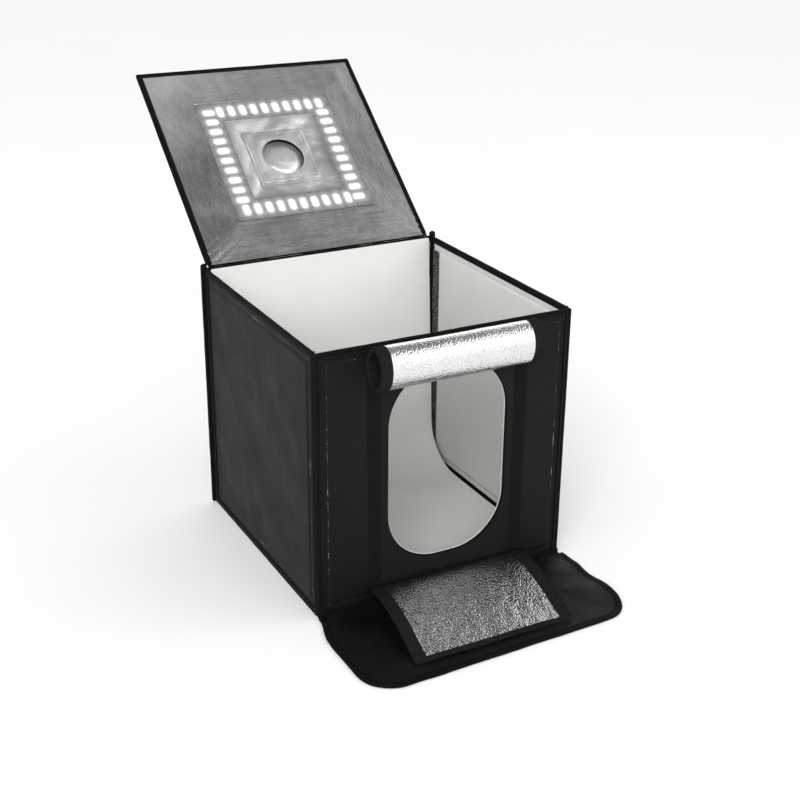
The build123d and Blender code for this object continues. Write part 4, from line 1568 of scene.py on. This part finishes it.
class TENT_OT_apron(bpy.types.Operator):
    """Lay the padded apron on the ground in front of the tent"""
    bl_idname = "tent.apron"
    bl_label = "Apron"

    def execute(self, context):
        size = sizes()
        low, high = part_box("apron_binding")
        place = ApronPlace(high.y)
        left, right, long, thick = low.x, high.x, high.y - low.y, high.z
        corners = [(right, 0.0), (right, long), (left, long), (left, 0.0)]

        def outline(inset, step):
            line = edge_line(corners, inset, size.apron_radius, step, 14, False)
            count = int((right - left - 2 * inset) / step)
            back = np.linspace(left + inset, right - inset, count)[1:-1]
            return np.concatenate([line, np.stack([back, np.zeros(len(back))], axis=1)])

        def gap_to_edge(u, v):
            straight = np.minimum(np.minimum(u - left, right - u), long - v)
            corner_u = np.maximum(np.maximum(left + size.apron_radius - u, u - right + size.apron_radius), 0)
            corner_v = np.maximum(v - long + size.apron_radius, 0)
            in_corner = (corner_u > 0) & (corner_v > 0)
            return np.where(in_corner, size.apron_radius - np.hypot(corner_u, corner_v), straight)

        def top(u, v):
            gap = gap_to_edge(u, v)
            free = smooth_step(gap, 11 * MM, 45 * MM)
            folds = waves(u, v, 901, 0.14, 0.04, 9) + 0.4 * waves(u, v, 902, 0.05, 0.02, 8)
            puff = size.apron_puff * free * (0.55 + 0.45 * np.clip(folds, -1, 1))
            under_flap = smooth_step(np.abs(u - 4 * MM), 0.10, 0.15)
            puff = puff * (0.25 + 0.75 * under_flap)
            seam = 3.4 * MM * (1 - smooth_step(v, 1 * MM, 16 * MM))
            pull = 2.4 * MM * np.exp(-(np.hypot(u - left - 30 * MM, v - 16 * MM) / (42 * MM)) ** 2)
            pull = pull * np.abs(np.sin((0.7 * u + v) * 2 * pi / (46 * MM)))
            return thick - 0.35 * MM + puff + seam + pull * smooth_step(gap, 8 * MM, 20 * MM)

        pieces = []
        for name, node, height, look, pitch in (
            ("apron_top_cloth", "apron_lining", top, "apron_nylon", 6 * MM),
            ("apron_under_cloth", "apron_skin", 0.5 * MM, "nylon", 10 * MM),
        ):
            lines = [outline(x * MM, 5 * MM)[:-1] for x in (13, 16, 20)] if name == "apron_top_cloth" else []
            pieces.append(cloth(name, node, "nylon", [outline(10.6 * MM, 6 * MM)], pitch, place, height,
                                0.6 * MM, [look], "apron", lines))
        edge = sewn_edge(place, corners, thick / 2 + 0.2 * MM, whole_section(APRON_SIDE), 911, False,
                         size.apron_radius, 18, 6 * MM, 0.8 * MM)
        trim("apron_edge_binding", ["apron_binding"], [edge], "binding", "apron")
        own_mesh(pieces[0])
        low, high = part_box("apron_foam")
        foam = cloth("apron_foam_pad", "apron_foam", "foam", [outline(14 * MM, 8 * MM)], 14 * MM, place,
                     (low.z + high.z) / 2, high.z - low.z - 0.3 * MM, ["foam"], "apron")
        return {"FINISHED"}


class TENT_OT_stitching(bpy.types.Operator):
    """Sew the seams: thread along the bindings and round the boards (the thread round the port is sewn with the
    lid's cloth)
    """
    bl_idname = "tent.stitching"
    bl_label = "Stitching"

    def execute(self, context):
        size = sizes()
        for name, body in WALL_BODY.items():
            place = wall_place(name)
            low, high = span(name + "_binding", place)[2]
            middle = (low + high) / 2
            edge = edge_line(full(place), BINDING_THREAD, 8 * MM, 6 * MM, 2)
            if name == "base":
                parts = stitch_parts(place, edge, middle - BINDING_GROOVE)
                trim(name + "_thread", (), parts, "thread", body)
                continue
            seam = edge_line(full(place), size.seam, size.seam, 6 * MM, 2)
            parts = stitch_parts(place, edge, middle + BINDING_GROOVE)
            parts += stitch_parts(place, seam, SKIN_LEVELS[0] + size.cloth / 2 - 0.3 * MM)
            trim(name + "_thread", (), parts, "thread", body)
            parts = stitch_parts(place, seam, LINING_LEVELS[0] - size.cloth / 2 + 0.2 * MM)
            trim(name + "_lining_thread", (), parts, "pale_thread", body)
        return {"FINISHED"}


class TENT_OT_boards(bpy.types.Operator):
    """Finish the stiff boards inside the walls"""
    bl_idname = "tent.boards"
    bl_label = "Boards"

    def execute(self, context):
        for name in (*WALL_AXES, "lid"):
            dress(name + "_board", "board")
        return {"FINISHED"}


CAMERA_PLACE = (-0.8657, -1.6759, 1.0341)
CAMERA_TURN = radians(28.2)  # right of straight ahead
CAMERA_DIP = radians(23.37)
CAMERA_ROLL = radians(0.54)
CAMERA_LENS = 61.0
FLOOR_HALF = 24.0
SKY_STRENGTH = 1.95
# How bright the light from all round is, from the horizon (0) to straight up (1).
SKY_BANDS = ((0.0, 0.52), (0.07, 0.52), (0.13, 0.85), (0.26, 1.0), (0.58, 1.0), (0.74, 0.16), (1.0, 0.08))
LAMP_AIM = (0, 0, 0.25)
LAMPS = (  # name, place, size and power
    ("key_light", (-2.6, -3.6, 3.0), (2.4, 2.0), 120),
    ("side_light", (2.4, -1.0, 1.6), (1.2, 1.8), 8),
)


def area_lamp(name, place, size, power):
    lamp = bpy.data.lights.new(name, "AREA")
    lamp.shape, lamp.size, lamp.size_y, lamp.energy = "RECTANGLE", size[0], size[1], power
    holder = bpy.data.objects.new(name, lamp)
    holder.location = place
    holder.rotation_mode = "QUATERNION"
    holder.rotation_quaternion = (Vector(LAMP_AIM) - Vector(place)).to_track_quat("-Z", "Y")
    bpy.context.scene.collection.objects.link(holder)


class TENT_OT_stage(bpy.types.Operator):
    """Set the pale floor, the soft lights and the camera"""
    bl_idname = "tent.stage"
    bl_label = "Studio"

    def execute(self, context):
        scene = context.scene
        mesh = bpy.data.meshes.new("studio_floor")
        corners = rectangle(-FLOOR_HALF, FLOOR_HALF, -FLOOR_HALF, FLOOR_HALF)
        mesh.from_pydata([(x, y, 0) for x, y in corners], [], [(0, 1, 2, 3)])
        mesh.materials.append(finish("studio_floor"))
        floor = bpy.data.objects.new("studio_floor", mesh)
        scene.collection.objects.link(floor)
        sky = Sky("studio")
        around = sky.node("ShaderNodeTexCoord", output="Generated")
        upward = sky.node("ShaderNodeSeparateXYZ", None, {0: around}, "Z")
        tint = scene.tent_colours.studio
        bands = [(height, (*[level * c for c in tint], 1)) for height, level in SKY_BANDS]
        light = sky.node("ShaderNodeValToRGB", {"stops": bands}, {0: upward})
        scene.world = sky.finish(Color=light, Strength=SKY_STRENGTH)
        for lamp in LAMPS:
            area_lamp(*lamp)
        camera = bpy.data.cameras.new("camera")
        camera.lens, camera.clip_start, camera.clip_end = CAMERA_LENS, 0.05, 100
        holder = bpy.data.objects.new("camera", camera)
        level = cos(CAMERA_DIP)
        ahead = Vector((sin(CAMERA_TURN) * level, cos(CAMERA_TURN) * level, -sin(CAMERA_DIP)))
        right = Vector((cos(CAMERA_TURN), -sin(CAMERA_TURN), 0))
        up = right.cross(ahead)
        rolled_right = cos(CAMERA_ROLL) * right + sin(CAMERA_ROLL) * up
        rolled_up = cos(CAMERA_ROLL) * up - sin(CAMERA_ROLL) * right
        axes = Matrix((rolled_right, rolled_up, -ahead)).transposed().to_4x4()
        holder.matrix_world = Matrix.Translation(CAMERA_PLACE) @ axes
        scene.collection.objects.link(holder)
        scene.camera = holder
        scene.view_settings.view_transform = "Standard"
        return {"FINISHED"}


OPERATORS = (
    TENT_OT_walls, TENT_OT_bindings, TENT_OT_tapes, TENT_OT_fringes, TENT_OT_backdrop, TENT_OT_lid_cloth,
    TENT_OT_lights, TENT_OT_port_flap, TENT_OT_upper_flap, TENT_OT_lower_flap, TENT_OT_apron,
    TENT_OT_stitching, TENT_OT_boards, TENT_OT_stage,
)


class TENT_PT_panel(bpy.types.Panel):
    """The tent's pieces, in the order they are made"""
    bl_idname = "TENT_PT_panel"
    bl_label = "Photo tent"
    bl_space_type = "VIEW_3D"
    bl_region_type = "UI"
    bl_category = "Photo tent"

    def draw(self, context):
        for group in (context.scene.tent_sizes, context.scene.tent_colours):
            for name in group.__annotations__:
                self.layout.prop(group, name)
        for operator in OPERATORS:
            self.layout.operator(operator.bl_idname)


CLASSES = (TentSizes, TentColours, *OPERATORS, TENT_PT_panel)


def register():
    for cls in CLASSES:
        bpy.utils.register_class(cls)
    bpy.types.Scene.tent_sizes = bpy.props.PointerProperty(type=TentSizes)
    bpy.types.Scene.tent_colours = bpy.props.PointerProperty(type=TentColours)


def unregister():
    del bpy.types.Scene.tent_colours
    del bpy.types.Scene.tent_sizes
    for cls in reversed(CLASSES):
        bpy.utils.unregister_class(cls)


def main():
    register()
    for operator in OPERATORS:
        group, name = operator.bl_idname.split(".")
        getattr(getattr(bpy.ops, group), name)()


if __name__ == "__main__":
    main()
